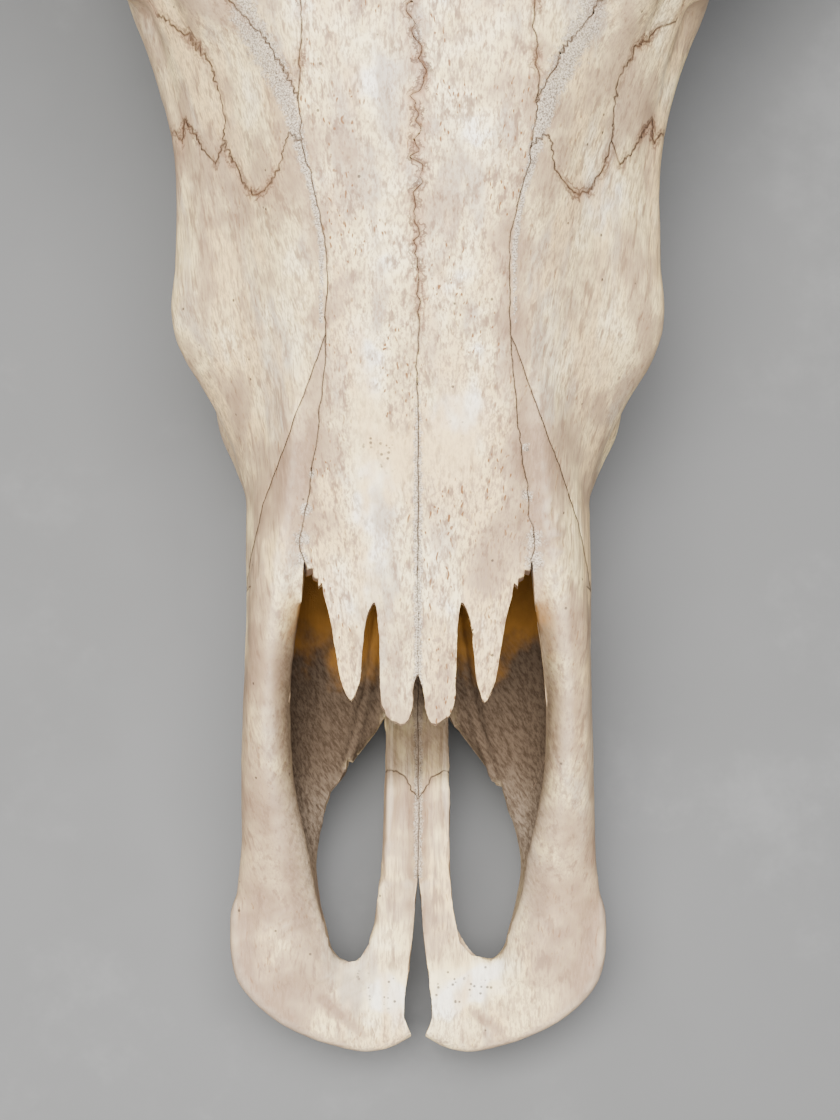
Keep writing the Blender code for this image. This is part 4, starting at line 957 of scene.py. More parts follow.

# %% Where the bone is porous, rusty, chalky or warm, and where shade is painted
POROUS_STRIP = ((50, 345, 4.5), (53.7, 317.6, 4.3), (49, 309.7, 4.2), (44, 300.1, 4.0), (40.1, 291.6, 3.2),
                (37.2, 280.7, 2.3), (34.8, 271.8, 1.6), (32.2, 263, 1.2), (29.7, 248.4, 0.9),
                (30, 226, 0.5))
POROUS_SPOTS = ((-35.5, 172, 2.4), (-36.8, 163, 2.8), (-36.6, 157, 2.6), (36.8, 163, 3.2), (37, 156, 3.2),
                (34.5, 176, 2), (33.5, 190, 1.2), (-33.5, 182, 1.2))
RUSTY_SPOTS = ((2.7, 311, 3.2), (0.5, 297, 3.2), (3, 290, 2.6), (0.3, 283, 3), (4, 278, 2), (0, 268, 2.4),
               (0, 250, 2.2), (-50, 350, 14), (-66, 322, 14), (68, 322, 14), (-74, 296, 9), (74, 296, 9),
               (-62, 278, 6), (62, 278, 6), (-50, 268, 8), (50, 268, 8), (38, 318, 7), (-38, 318, 7),
               (36, 300, 5), (-36, 300, 5))
# The bars' spots are painted shade: they darken the front of the muzzle, where less light falls.
TONE_SPOTS = {
    "blade": ((-50, 30, 15, 0.9), (55, 28, 13, 1.9), (44, 36, 9, 0.8), (-32, 24, 9, 0.5), (34, 30, 9, 0.5),
              (-9, 22, 9, -2.4), (10, 24, 9, -2.4), (-20, 22, 8, -1.3), (20, 24, 8, -1.3),
              (-12, 42, 7, -0.8), (12, 46, 7, -0.6), (-50, 54, 13, 0.7), (-25, 28, 8, -1.6),
              (25, 29, 8, -1.5), (52, 56, 10, 0.2)),
    "bars": ((-50, 120, 14, 0.25), (50, 120, 14, 0.25), (-48, 76, 14, 0.9), (48, 76, 14, 0.8),
             (-46, 104, 14, 0.7), (46, 106, 14, 0.5), (-46, 134, 12, 0.4), (46, 134, 12, 0.4),
             (52, 84, 10, -0.2), (-52, 60, 12, 0.5)),
    "nasals": ((-12, 178, 12, -0.5), (10, 182, 11, -0.4), (-14, 150, 9, -0.3), (-30, 215, 8, 0.3),
               (30, 215, 8, 0.3), (0, 104, 12, 0.5), (9, 168, 12, 0.6), (16, 152, 10, 0.5),
               (-12, 232, 8, 0.5), (22, 172, 9, 0.2), (-24, 158, 9, 0.4), (-8, 190, 14, -0.7),
               (9, 200, 12, -0.7), (-20, 270, 14, 0.2), (16, 290, 12, 0.3), (-10, 128, 10, -0.3),
               (10, 128, 10, -0.2)),
    "cheeks": ((-46, 186, 16, 0.7), (46, 186, 16, 0.7), (-62, 252, 12, -0.8), (58, 262, 14, -0.7),
               (-74, 285, 9, 0.5), (-66, 262, 8, 0.3), (-54, 262, 7, 0.9), (-58, 272, 5, 0.6),
               (42, 275, 12, 0.4), (-40, 262, 12, 0.3), (70, 232, 10, 0.4)),
    "vault": ((0, 420, 60, 0.3), (-70, 400, 30, 0.3), (60, 440, 30, 0.4)),
}
# The streaks along the nasals' sides and on the bar are painted shade; the negative streaks down each nasal's
# middle are a painted highlight.
STREAKS = {
    "blade": ((-32, 20, -18, 8, 1.7, 2.2), (27, 10, 17, 16.5, 1.5, 1.8), (-42, 62, -34, 36, 3, 1.3),
              (43, 62, 37, 40, 3, 0.8), (-59, 46, -57, 24, 3.5, 1.0), (-57, 24, -40, 8, 3.5, 0.9),
              (-40, 8, -16, 3, 2.5, 0.7), (58, 48, 57, 24, 4.5, 1.4), (57, 24, 40, 8, 4, 1.1),
              (40, 8, 20, 3, 2.5, 0.6), (41, 31, 46, 41, 3, 1.0)),
    "rods": ((-3, 50, -2.5, 92, 2.2, 1.3), (2.5, 42, 2, 92, 1.3, 1.2), (-8, 52, -7, 92, 3.2, 0.6),
             (8, 52, 7, 92, 3, 0.35), (-15, 60, -15, 100, 1.6, 0.9), (15, 60, 15, 100, 1.6, 0.9)),
    "bars": ((50, 60, 49, 140, 5, 0.35),),
    "nasals": ((-30, 226, -34, 190, 6, 1.2), (30, 226, 34, 190, 6.5, 1.7), (-34, 190, -36.5, 163, 6, 0.9),
               (34, 190, 36.5, 163, 6.5, 1.4), (-29.5, 250, -30, 226, 6, 1.0),
               (29.5, 250, 30, 226, 6.5, 1.5), (-40, 292, -30, 250, 6, 1.0), (40, 292, 30, 250, 7, 1.4),
               (-14, 300, -16, 135, 8, -0.7), (15, 300, 15, 135, 7, -0.6), (-20, 240, -21, 276, 5, 0.9),
               (-7, 198, -7, 222, 3.5, 1.0), (13, 208, 14, 232, 4, 0.9), (10, 242, 14, 256, 4, 0.8),
               (20, 150, 12, 172, 5, 0.8), (-22, 150, -24, 190, 4, 0.5), (24, 150, 26, 184, 4, 0.6),
               (9, 122, 9, 130, 3, 1.2), (-8, 122, -8, 126, 2.5, 0.9), (-27, 285, -27, 305, 4, 0.6),
               (0, 196, 0, 206, 3, 0.5)),
    "cheeks": ((-77, 288, -74, 306, 4, 1.1), (77, 286, 76, 300, 4, 0.9), (-70, 236, -66, 275, 5, 0.8),
               (72, 238, 70, 262, 5, 0.8), (-60, 190, -56, 232, 3, 0.7), (60, 196, 57, 226, 2.5, 0.7),
               (-46, 240, -40, 272, 4, 0.6), (44, 240, 40, 272, 4, 0.6), (-70, 322, -64, 344, 5, 0.7),
               (66, 320, 70, 346, 5, 0.6)),
}
# The premaxilla's higher tone is painted shade on the front of the muzzle.
BONE_TONES = {"premaxilla": 0.6, "maxilla": -0.10, "nasal": 0.0, "lacrimal": -0.05, "zygomatic": 0.0,
              "frontal": 0.05, "palatine": 0.2, "temporal": 0.2, "braincase": 0.2}


def all_of(table):
    return [row for rows in table.values() for row in rows]


def plan_spot(points, x, y, radius):
    """A soft spot seen from above: exp(-(plan distance / radius)**2)."""
    return np.exp(-((points[:, :2] - (x, y)) ** 2).sum(axis=1) / radius**2)


def off_line(places, x0, y0, x1, y1):
    """How far each place is from the line between two ends, and the share of the line behind it."""
    way = np.array((x1 - x0, y1 - y0), float)
    share = np.clip((places - (x0, y0)) @ way / (way @ way), 0, 1)
    return np.linalg.norm(places - (x0, y0) - share[:, None] * way, axis=1), share


def stains_and_shade(points, normals, node):
    """Three values at each point: how porous, how rusty, and the tone from chalky (-1) to warm (+1).

    Slopes get painted shade: the tone, which the finish paints darker, rises by 0.8 * (0.92 - normal's z) /
    0.7."""
    mirrored = np.column_stack([np.abs(points[:, 0]), points[:, 1]])
    porous = np.zeros(len(points))
    for (x0, y0, r0), (x1, y1, r1) in zip(POROUS_STRIP[:-1], POROUS_STRIP[1:]):
        distance, share = off_line(mirrored, x0, y0, x1, y1)
        porous = np.maximum(porous, np.exp(-(distance / (r0 + (r1 - r0) * share)) ** 2))
    for spot in POROUS_SPOTS:
        porous = np.maximum(porous, plan_spot(points, *spot))
    middle = np.exp(-(points[:, 0] / 1.5) ** 2)
    porous = np.maximum(porous, middle * np.clip((218 - points[:, 1]) / 30, 0, 1) * (points[:, 1] > 60))
    porous *= points[:, 2] > 38
    rusty = sum(plan_spot(points, *spot) for spot in RUSTY_SPOTS) + 0.5 * (points[:, 1] > 330)
    rusty += 0.9 * np.exp(-(points[:, 0] / 7) ** 4) * np.clip((points[:, 1] - 215) / 20, 0, 1)
    islands = np.exp(-(points[:, 0] / 2.4) ** 2) * np.clip((points[:, 1] - 245) / 20, 0, 1)
    porous = np.maximum(porous, islands * np.clip(0.1 + 1.3 * noise(points * (1, 0.7, 1), 3.2, 201), 0, 0.9))
    tone = sum(amount * plan_spot(points, *spot) for *spot, amount in all_of(TONE_SPOTS))
    for *ends, radius, amount in all_of(STREAKS):
        distance, _ = off_line(points[:, :2], *ends)
        tone = tone + amount * np.exp(-(distance / radius) ** 2)
    # Painted shade: the tone rises where the surface turns away from up.
    tone = tone + BONE_TONES[node.split("_")[0]] + 0.8 * np.clip((0.92 - normals[:, 2]) / 0.7, 0, 1.2) - 0.1
    return {"porous": porous, "rusty": np.clip(rusty, 0, 1), "tone": tone}


print("stain spots:", len(POROUS_SPOTS) + len(RUSTY_SPOTS) + len(all_of(TONE_SPOTS)))

# %% Every bone as a finished piece
FINISHES = ("old_bone", "nasal_bone", "tooth", "horn_sheath", "floor")
finishes = {name: bpy.data.materials.new(name) for name in FINISHES}


def finish_bone(node, cut):
    """Keeps the largest part of a cut bone, opens its gaps and measures what its finish follows."""
    points = read_points(cut)
    triangles, is_wall = read_triangles(cut)
    kept = {name: read_attribute(cut.data, name) for name in ("ridge", "hollow", "cavity")}
    part = loose_parts(len(points), edges_of(triangles))[triangles[:, 0]]
    largest = np.bincount(part).argmax()
    triangles, is_wall = triangles[part == largest], is_wall[part == largest]
    used, flat = np.unique(triangles, return_inverse=True)
    points, triangles = points[used], flat.reshape(-1, 3)
    kept = {name: values[used] for name, values in kept.items()}

    on_wall, on_skin = np.zeros(len(points), bool), np.zeros(len(points), bool)
    on_wall[triangles[is_wall]] = True
    on_skin[triangles[~is_wall]] = True
    rim = on_wall & on_skin
    edges = edges_of(triangles[~is_wall])
    outer, inner = edges[rim[edges[:, 0]] != rim[edges[:, 1]]].T
    outer, inner = np.where(rim[outer], outer, inner), np.where(rim[outer], inner, outer)
    count = np.bincount(outer, minlength=len(points))
    for name, values in kept.items():
        total = np.bincount(outer, values[inner], len(points))
        kept[name] = np.where(count > 0, total / np.maximum(count, 1), values)
    if node.startswith("nasal"):
        rim &= points[:, 1] > BEHIND_THE_TIPS
    wall_normals = corner_normals(points, triangles[is_wall])
    skin_normals = corner_normals(points, triangles[~is_wall])
    seam = distance_along(points, edges, rim)
    seam[on_wall & ~on_skin] = 0
    points = points - wall_normals * HALF_GAP * on_wall[:, None]
    points -= skin_normals * (RIM_PRESS * np.exp(-seam / RIM_WIDTH) * (on_skin & (seam < 5)))[:, None]

    mesh = mesh_from("bone_" + node, points, triangles)
    keep_attribute(mesh, "seam", seam)
    keep_attribute(mesh, "cut_wall", (on_wall & ~on_skin).astype(float))
    for name, values in (kept | stains_and_shade(points, skin_normals, node)).items():
        keep_attribute(mesh, name, values)
    thin = node.startswith("nasal")
    drop(cut)
    return piece("bone_" + node, mesh, finishes["nasal_bone" if thin else "old_bone"],
                 [node])


bones = {node: finish_bone(node, cut) for node, cut in cut_bones.items()}
print("triangles:", {node: len(bone.data.polygons) for node, bone in bones.items()})

# %% [markdown]
# ## Cheek teeth
# A buffalo grinds grass with six tall cheek teeth a side. Their outer wall stands in sharp ribs and their
# worn face shows crescents of hard enamel round softer, darker dentine. Each tooth is one surface on a polar
# grid: a column first, which then turns in over the worn face to its middle.

# %% One tooth, and both rows of six
TEETH = ((18, 17), (19, 20), (19, 23), (25, 25), (28, 26), (30, 24))
TOOTH_ROW = ((150, 40, 0), (200, 46.5, 0), (250, 54, 0), (300, 57, 0))
TOOTH_ROW_START, TOOTH_SPACING = 151, 0.5
TOOTH_LEVELS = ((34, 0.78), (27, 0.86), (19, 0.93), (16, 0.97), (11, 1.0), (6, 1.01), (3, 1.0), (1.4, 0.985))
AROUND_TOOTH = 84


def hump(u, middle, width):
    """exp(-((u - middle) / width)**2), the shape of every rib and rim here."""
    return np.exp(-((u - middle) / width) ** 2)


def tooth(length, width, lobes, outward):
    """A tooth about its own axis: (x, y, z) and how much enamel shows, on a grid of levels and angles.

    Its outline is a superellipse of power 0.66 with ribs on the outer side and a waist between its two
    inner lobes. Over the worn face z rises at the rim and at the crescents' rims, and sinks in between."""
    t = np.linspace(0, 2 * math.pi, AROUND_TOOTH, endpoint=False)
    cos, sin = np.cos(t), np.sin(t)
    x, y = np.sign(cos) * np.abs(cos) ** 0.66, np.sign(sin) * np.abs(sin) ** 0.66
    outer = np.clip(x * outward, 0, 1)
    inner = np.clip(-x * outward, 0, 1)
    ribs = 0.17 * hump(y, -0.93, 0.13) + 0.15 * hump(y, -0.02, 0.09) + 0.15 * hump(y, 0.93, 0.13)
    ribs += 0.07 * hump(y, -0.5, 0.13) + 0.07 * hump(y, 0.5, 0.13)
    waist = 0.16 * hump(y, 0, 0.2) if lobes == 2 else 0 * y
    grow = 1 + outer * (ribs - 0.06) - inner * waist
    knots = [(i, *level) for i, level in enumerate(TOOTH_LEVELS)]
    levels = along(knots, np.linspace(0, len(knots) - 1, 26))
    rings = [np.column_stack([x * width / 2 * grow * s, y * length / 2 * s, 0 * x + z]) for z, s in levels]
    enamel = [np.ones(AROUND_TOOTH)] * len(rings)
    for share in np.linspace(0.975, 0.02, 24):
        px, py = x * grow * share, y * share
        rim = hump(share, 0.93, 0.07)
        crescent = 0 * px
        for middle in ((-0.47, 0.47) if lobes == 2 else (0.0,)):
            bow = (px * outward + 0.05) - 0.30 * ((py - middle) / 0.36) ** 2
            around_it = np.sqrt((bow / 0.16) ** 2 + ((py - middle) / 0.3) ** 2)
            crescent = np.maximum(crescent, hump(around_it, 1.0, 0.3))
            crescent = np.where(around_it < 0.7, -0.8, crescent)
        relief = np.where(crescent < 0, crescent, np.maximum(rim, crescent))
        cusp = 1.3 * np.cos(py * math.pi * lobes) * np.abs(px)
        z = 2.1 - 1.5 * relief - cusp * (share < 0.99) * 0.5
        rings.append(np.column_stack([px * width / 2, py * length / 2, np.maximum(z, 0.02)]))
        enamel.append(np.clip(relief, 0, 1))
    return np.array(rings), np.array(enamel)


def closed_grid(rings):
    """Triangles of a skin over rings. A fan about its first point closes the first and the last ring."""
    rows, around = rings.shape[:2]
    i, j = np.meshgrid(np.arange(rows - 1), np.arange(around), indexing="ij")
    k = (j + 1) % around
    a, b, c, d = i * around + j, i * around + k, (i + 1) * around + k, (i + 1) * around + j
    walls = np.concatenate([np.stack([a, b, c], axis=-1).reshape(-1, 3),
                            np.stack([a, c, d], axis=-1).reshape(-1, 3)])
    fan = np.column_stack([np.zeros(around - 2, int), np.arange(2, around), np.arange(1, around - 1)])
    triangles = np.concatenate([walls, fan, fan[:, ::-1] + (rows - 1) * around])
    points = rings.reshape(-1, 3)
    a, b, c = points[triangles].transpose(1, 0, 2)
    volume = (a * np.cross(b, c)).sum()
    return points, triangles if volume > 0 else triangles[:, ::-1]


for side_name, side in SIDES.items():
    y, all_points, all_triangles, all_enamel = TOOTH_ROW_START, [], [], []
    for number, (length, width) in enumerate(TEETH):
        rings, enamel = tooth(length - TOOTH_SPACING, width * 0.96, 1 if number < 3 else 2, side)
        middle = y + length / 2
        x = along(TOOTH_ROW, np.array([middle]))[0, 0]
        heading = math.atan2(along(TOOTH_ROW, np.array([middle + 5]))[0, 0] - x, 5) * side
        turned = rings @ np.array(((math.cos(heading), -math.sin(heading), 0),
                                   (math.sin(heading), math.cos(heading), 0), (0, 0, 1)))
        rings = turned + (x * side, middle, 0)
        rings[..., 0] += 0.25 * noise(rings.reshape(-1, 3), 5, 140 + number).reshape(rings.shape[:2])
        points, triangles = closed_grid(rings)
        all_triangles.append(triangles + sum(map(len, all_points)))
        all_points.append(points)
        all_enamel.append(enamel.ravel())
        y += length
    mesh = mesh_from("cheek_teeth_" + side_name, np.concatenate(all_points), np.concatenate(all_triangles))
    keep_attribute(mesh, "enamel", np.concatenate(all_enamel))
    piece("cheek_teeth_" + side_name, mesh, finishes["tooth"])
print("teeth per side:", len(TEETH), "of", AROUND_TOOTH, "points round")

# %% [markdown]
# ## Horns
# A horn's sheath is a long hollow cone of the stuff of hooves, pushed over the bony core. It grows a ridge
# at a time, so ridges stand close and deep near the head and fade towards the smooth tip. Its section is a
# rounded triangle. The path, the section and the ridges are each a formula of the place along the horn.

# %% The path of the horn, its section and its ridges
HORN = ((112, 452, 170), (155, 460, 166), (215, 480, 161), (283, 515, 157), (343, 565, 157),
        (386, 628, 164), (405, 696, 177), (401, 758, 195))
HORN_HALF_DEPTH = ((0, 42), (0.12, 41), (0.3, 36), (0.5, 28.5), (0.7, 20), (0.88, 11), (1, 2.2))
HORN_HALF_HEIGHT = ((0, 34.5), (0.12, 33), (0.3, 28), (0.5, 22), (0.7, 16), (0.88, 9), (1, 2))
HORN_ROWS, HORN_AROUND = ((620, 132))
RIDGES, RIDGE_HEIGHT = 27, 0.05
HORN_LIP = ((0.50, 20), (0.16, 16), (0.115, 5), (0.10, 1.2), (0.07, 0.2), (0.025, -0.5))


def horn_sheath(side):
    """Points and attributes of one sheath.

    Point = path(s) + back * depth(s) * r * cos(t) + up * height(s) * r * sin(t), where
    r = (1 + 0.09*cos(3*(t - 90 degrees))) * (1 + ridge), and
    ridge = height * fade(s) * (|cos(pi*n(s, t))|**1.7 - 0.5)."""
    share = np.linspace(0, 1, HORN_ROWS) ** 0.92
    path = along(np.column_stack([np.linspace(0, 1, len(HORN)), np.array(HORN, float)]), share)
    tangent = np.gradient(path, axis=0)
    tangent /= np.linalg.norm(tangent, axis=1)[:, None]
    tangent[0] = (1, 0, 0)
    upward = np.array((0.0, 0.0, 1.0)) - tangent * tangent[:, 2:3]
    upward /= np.linalg.norm(upward, axis=1)[:, None]
    back = np.cross(upward, tangent)
    t = np.linspace(0, 2 * math.pi, HORN_AROUND, endpoint=False)[None, :]
    s = share[:, None]
    loop = np.stack([np.cos(t) + 0 * s, np.sin(t) + 0 * s, 0 * t + s], axis=-1)

    def roughness(stretch, seed):
        return noise((loop * stretch).reshape(-1, 3), 1, seed + side).reshape(s.shape[0], -1)

    uneven = roughness((2.2, 2.2, 9), 171)
    number = RIDGES * s ** 0.86 + 0.42 * uneven + 0.25 * np.cos(t - 0.6)
    crest = np.abs(np.cos(math.pi * number)) ** 1.7
    fade = np.clip(1 - s / 0.72, 0, 1) ** 0.8 * (0.75 + 0.25 * np.cos(t - 2.2))
    start = 1 - np.exp(-s / 0.004)
    lumps = 0.012 * roughness((1.6, 1.6, 5), 175)
    fibres = 0.0035 * roughness((26, 26, 3), 177)
    flaking = 0.010 * np.clip(roughness((9, 9, 34), 179), 0, 1)
    r = (1 + 0.09 * np.cos(3 * (t - math.radians(90)))) * (
        1 + RIDGE_HEIGHT * fade * (crest - 0.5) * start + lumps + fibres - flaking * fade)
    depth, height = along(HORN_HALF_DEPTH, share), along(HORN_HALF_HEIGHT, share)
    outside = (path[:, None] + back[:, None] * (depth * r * np.cos(t))[..., None]
               + upward[:, None] * (height * r * np.sin(t))[..., None])
    outside[0, :, 0] -= 1.5 + 2.2 * np.abs(noise(loop[0] * 4, 1, 181 + side))
    lip = [outside[0] + (outside[0].mean(axis=0) - outside[0]) * thin + (push, 0, 0)
           for thin, push in HORN_LIP]
    rings = np.concatenate([lip, outside])
    extra = len(lip)
    along_horn = np.concatenate([np.zeros(extra), share])[:, None] + 0 * t
    crests = np.concatenate([np.zeros((extra, HORN_AROUND)), crest * fade])
    angle = np.broadcast_to(t, along_horn.shape)
    return rings * (side, 1, 1), along_horn, crests, angle


for side_name, side in SIDES.items():
    rings, along_horn, crests, angle = horn_sheath(side)
    points, triangles = closed_grid(rings)
    mesh = mesh_from("horn_" + side_name, points, triangles)
    keep_attribute(mesh, "along_horn", along_horn.ravel())
    keep_attribute(mesh, "crest", crests.ravel())
    keep_attribute(mesh, "round_x", np.cos(angle).ravel())
    keep_attribute(mesh, "round_y", np.sin(angle).ravel())
    piece("sheath_" + side_name, mesh, finishes["horn_sheath"], ["horn_" + side_name])
print("horn points:", HORN_ROWS * HORN_AROUND)

# %% [markdown]
# ## Finishes
# Old bone has no single colour. It drifts between cream, chalk and tan, carries fine fibres along the skull,
# short brown flecks where vessels ran, and pinholes. The effects that several finishes share are node
# groups, built once from a few short words for nodes.

# %% Short words for building node trees
def add(tree, kind, inputs, **settings):
    """A node with its settings. Each input gets a value or is linked to a socket."""
    node = tree.nodes.new("ShaderNode" + kind)
    for name, value in settings.items():
        setattr(node, name, value)
    for name, value in inputs.items():
        if isinstance(value, bpy.types.NodeSocket):
            tree.links.new(value, node.inputs[name])
        else:
            node.inputs[name].default_value = value
    return node


def maths(tree, operation, a, b=0.0, c=0.5):
    return add(tree, "Math", {0: a, 1: b, 2: c}, operation=operation).outputs[0]


def times(tree, *factors):
    product = factors[0]
    for factor in factors[1:]:
        product = maths(tree, "MULTIPLY", product, factor)
    return product


def band(tree, value, low, high, start=0.0, end=1.0):
    """Goes smoothly from start to end while the value goes from low to high."""
    given = {"Value": value, "From Min": low, "From Max": high, "To Min": start, "To Max": end}
    return add(tree, "MapRange", given, interpolation_type="SMOOTHSTEP").outputs["Result"]


def mixed(tree, share, a, b, blend="MIX"):
    return add(tree, "Mix", {0: share, 6: a, 7: b}, data_type="RGBA", blend_type=blend).outputs[2]


def grain(tree, place, scale, detail=2.0, rough=0.5, stretch=(1, 1, 1)):
    """Noise with features of about 1/scale metres. A stretch below 1 draws them out along that axis."""
    if stretch != (1, 1, 1):
        place = add(tree, "Mapping", {"Vector": place, "Scale": stretch}).outputs[0]
    given = {"Vector": place, "Scale": scale, "Detail": detail, "Roughness": rough}
    return add(tree, "TexNoise", given).outputs["Fac"]


def kept(tree, name):
    return add(tree, "Attribute", {}, attribute_name=name).outputs["Fac"]


def colour(red, green, blue):
    return (red, green, blue, 1.0)


def new_group(name, inputs, outputs):
    """An empty node group with its sockets, and the sockets' inner ends."""
    tree = bpy.data.node_groups.new(name, "ShaderNodeTree")
    for socket_name, kind in inputs.items():
        tree.interface.new_socket(socket_name, in_out="INPUT", socket_type="NodeSocket" + kind)
    for socket_name, kind in outputs.items():
        tree.interface.new_socket(socket_name, in_out="OUTPUT", socket_type="NodeSocket" + kind)
    return tree, tree.nodes.new("NodeGroupInput").outputs, tree.nodes.new("NodeGroupOutput").inputs


def put_out(tree, sockets, results):
    for name, value in results.items():
        tree.links.new(value, sockets[name])


def opened(name):
    """A finish's node tree, its object coordinates and its Principled shader."""
    finishes[name].use_nodes = True
    tree = finishes[name].node_tree
    return tree, add(tree, "TexCoord", {}).outputs["Object"], tree.nodes["Principled BSDF"]


print("node words ready")

# %% [markdown]
# ## The tone of bone
# One group makes the dry skin of the bone: large patches of cream, chalk and tan, fibres drawn out along
# the skull's length, flecks in clusters, and pinholes. Its tone input also carries painted shade and painted
# highlight, so its tan and smudge brown are partly painted shade. Its height output feeds the bump of the
# same finish, so what looks like a pit is also dented.

# %% Group: bone tone
CREAM, CHALK, TAN = colour(0.86, 0.675, 0.335), colour(1.0, 0.92, 0.75), colour(0.42, 0.295, 0.172)
PALE, FIBRE = colour(1.0, 0.83, 0.47), colour(0.36, 0.24, 0.15)
LILAC, STRAW, SMUDGE_AND_SHADE = colour(0.43, 0.345, 0.255), colour(0.80, 0.56, 0.26), colour(0.24, 0.15, 0.092)
FLECK, PINHOLE = colour(0.19, 0.085, 0.028), colour(0.04, 0.026, 0.018)


def pinholes(tree, place, scale, radius, least, stretch=(1, 1, 1)):
    """Round spots at a share of the points of a Voronoi pattern. Stretched, they are strokes."""
    drawn = add(tree, "Mapping", {"Vector": place, "Scale": stretch}).outputs[0]
    cells = add(tree, "TexVoronoi", {"Vector": drawn, "Scale": scale})
    chance = add(tree, "SeparateColor", {0: cells.outputs["Color"]}).outputs[0]
    return times(tree, band(tree, cells.outputs["Distance"], radius, radius * 0.55),
                 band(tree, chance, least, least + 0.02))


tree, given, result = new_group(
    "bone_tone", {"Place": "Vector", "Tone": "Float", "Flecks": "Float", "Fibres": "Float"},
    {"Color": "Color", "Height": "Float"})
place = given["Place"]
fibres = times(tree, given["Fibres"], band(tree, given["Tone"], -1.4, -0.2, 0.25, 1.0))
drift = band(tree, grain(tree, place, 34, 3.0, 0.65), 0.30, 0.70, -1.2, 1.2)
tone = maths(tree, "ADD", given["Tone"], drift)
# Low tone gives pale and chalk, high tone tan and smudge brown; the tone carries painted shade and highlight
# too.
base = mixed(tree, band(tree, tone, 0.1, -0.7), CREAM, PALE)
base = mixed(tree, band(tree, tone, -0.7, -1.5), base, CHALK)
lilac = band(tree, grain(tree, place, 62, 3.0, 0.65, (1, 0.22, 1)), 0.49, 0.64, 0.0, 0.85)
base = mixed(tree, lilac, base, LILAC)
straw = band(tree, grain(tree, place, 51, 3.0, 0.65, (1, 0.25, 0.8)), 0.53, 0.38, 0.0, 0.85)
base = mixed(tree, straw, base, STRAW)
base = mixed(tree, band(tree, tone, 0.1, 1.3, 0.0, 0.85), base, TAN)
base = mixed(tree, band(tree, tone, 1.2, 2.6, 0.0, 0.8), base, SMUDGE_AND_SHADE)
fine = grain(tree, place, 1250, 3.0, 0.65, (1, 0.07, 1))
long = grain(tree, place, 420, 3.0, 0.7, (1, 0.09, 1))
base = mixed(tree, times(tree, band(tree, fine, 0.56, 0.38, 0.0, 0.85), fibres), base, FIBRE)
base = mixed(tree, times(tree, band(tree, long, 0.51, 0.66, 0.0, 0.9), fibres), base, SMUDGE_AND_SHADE)
clusters = band(tree, grain(tree, place, 60, 3.0, 0.6, (1, 0.6, 1)), 0.46, 0.60)
smudges = band(tree, grain(tree, place, 330, 3.0, 0.6, (1, 0.4, 1)), 0.50, 0.66)
base = mixed(tree, times(tree, smudges, clusters, given["Flecks"], 0.6), base, SMUDGE_AND_SHADE)
wavy = add(tree, "TexNoise", {"Vector": place, "Scale": 260.0, "Detail": 1.0}).outputs["Color"]
shaken = add(tree, "VectorMath", {0: wavy, "Scale": 0.0022}, operation="SCALE").outputs[0]
bent = add(tree, "VectorMath", {0: place, 1: shaken}, operation="ADD")
strokes = pinholes(tree, bent.outputs[0], 820, 0.30, 0.15, (1, 0.09, 1))
few = pinholes(tree, bent.outputs[0], 520, 0.22, 0.85, (1, 0.25, 1))
flecks = times(tree, strokes, maths(tree, "ADD", clusters, 0.35))
flecks = times(tree, maths(tree, "MAXIMUM", flecks, times(tree, few, 0.6)), given["Flecks"], fibres)
base = mixed(tree, flecks, base, FLECK)
holes = pinholes(tree, place, 170, 0.10, 0.80)
pitted = times(tree, band(tree, given["Tone"], -1.1, -1.5), pinholes(tree, place, 560, 0.32, 0.35),
               band(tree, grain(tree, place, 130, 2.0), 0.38, 0.52))
base = mixed(tree, times(tree, maths(tree, "MAXIMUM", holes, pitted), 0.8), base, PINHOLE)
worms = grain(tree, place, 760, 3.0, 0.6, (1, 0.4, 1))
height = maths(tree, "ADD", times(tree, fine, 0.45), times(tree, worms, 0.55))
height = maths(tree, "SUBTRACT", height, maths(tree, "ADD", holes, pitted))
put_out(tree, result, {"Color": base, "Height": height})
bone_tone = tree
print("bone_tone has", len(tree.nodes), "nodes")

# %% [markdown]
# ## Sutures, porous strips, dirt and painted shade
# Soil and rust creep into a suture and colour the bone beside it. Where two bones have grown rough, a strip
# of porous ash-grey bone shows. Hollows get a patchy grime colour that is dirt and painted shade, and ridges
# a paler colour that is wear and a painted highlight. Deep inside, the nose is an ochre and brown stain,
# darkened further as painted shade, and the inner slopes of its rims are painted dark as shade. Each is a
# layer that takes a colour and gives a colour, led by an attribute that was measured on the mesh.

# %% Groups: suture stain, porous bone, and dirt with painted shade
RUST, DARK_RUST = colour(0.42, 0.255, 0.145), colour(0.10, 0.05, 0.028)
INK, RUSTY_INK = colour(0.12, 0.078, 0.048), colour(0.10, 0.048, 0.024)
DARK_ASH, PALE_ASH, PORE = colour(0.13, 0.10, 0.075), colour(0.66, 0.56, 0.43), colour(0.10, 0.07, 0.055)
GRIME_AND_SHADE, RUBBED_BONE_AND_HIGHLIGHT = colour(0.36, 0.25, 0.165), colour(0.83, 0.74, 0.60)
PALATE_DARK, PALATE_PALE = colour(0.076, 0.053, 0.036), colour(0.205, 0.155, 0.110)
SHADED_DARK, SHADED_PALE = colour(0.036, 0.023, 0.014), colour(0.072, 0.048, 0.031)
OCHRE, DARK_OCHRE = colour(0.32, 0.15, 0.032), colour(0.14, 0.06, 0.012)

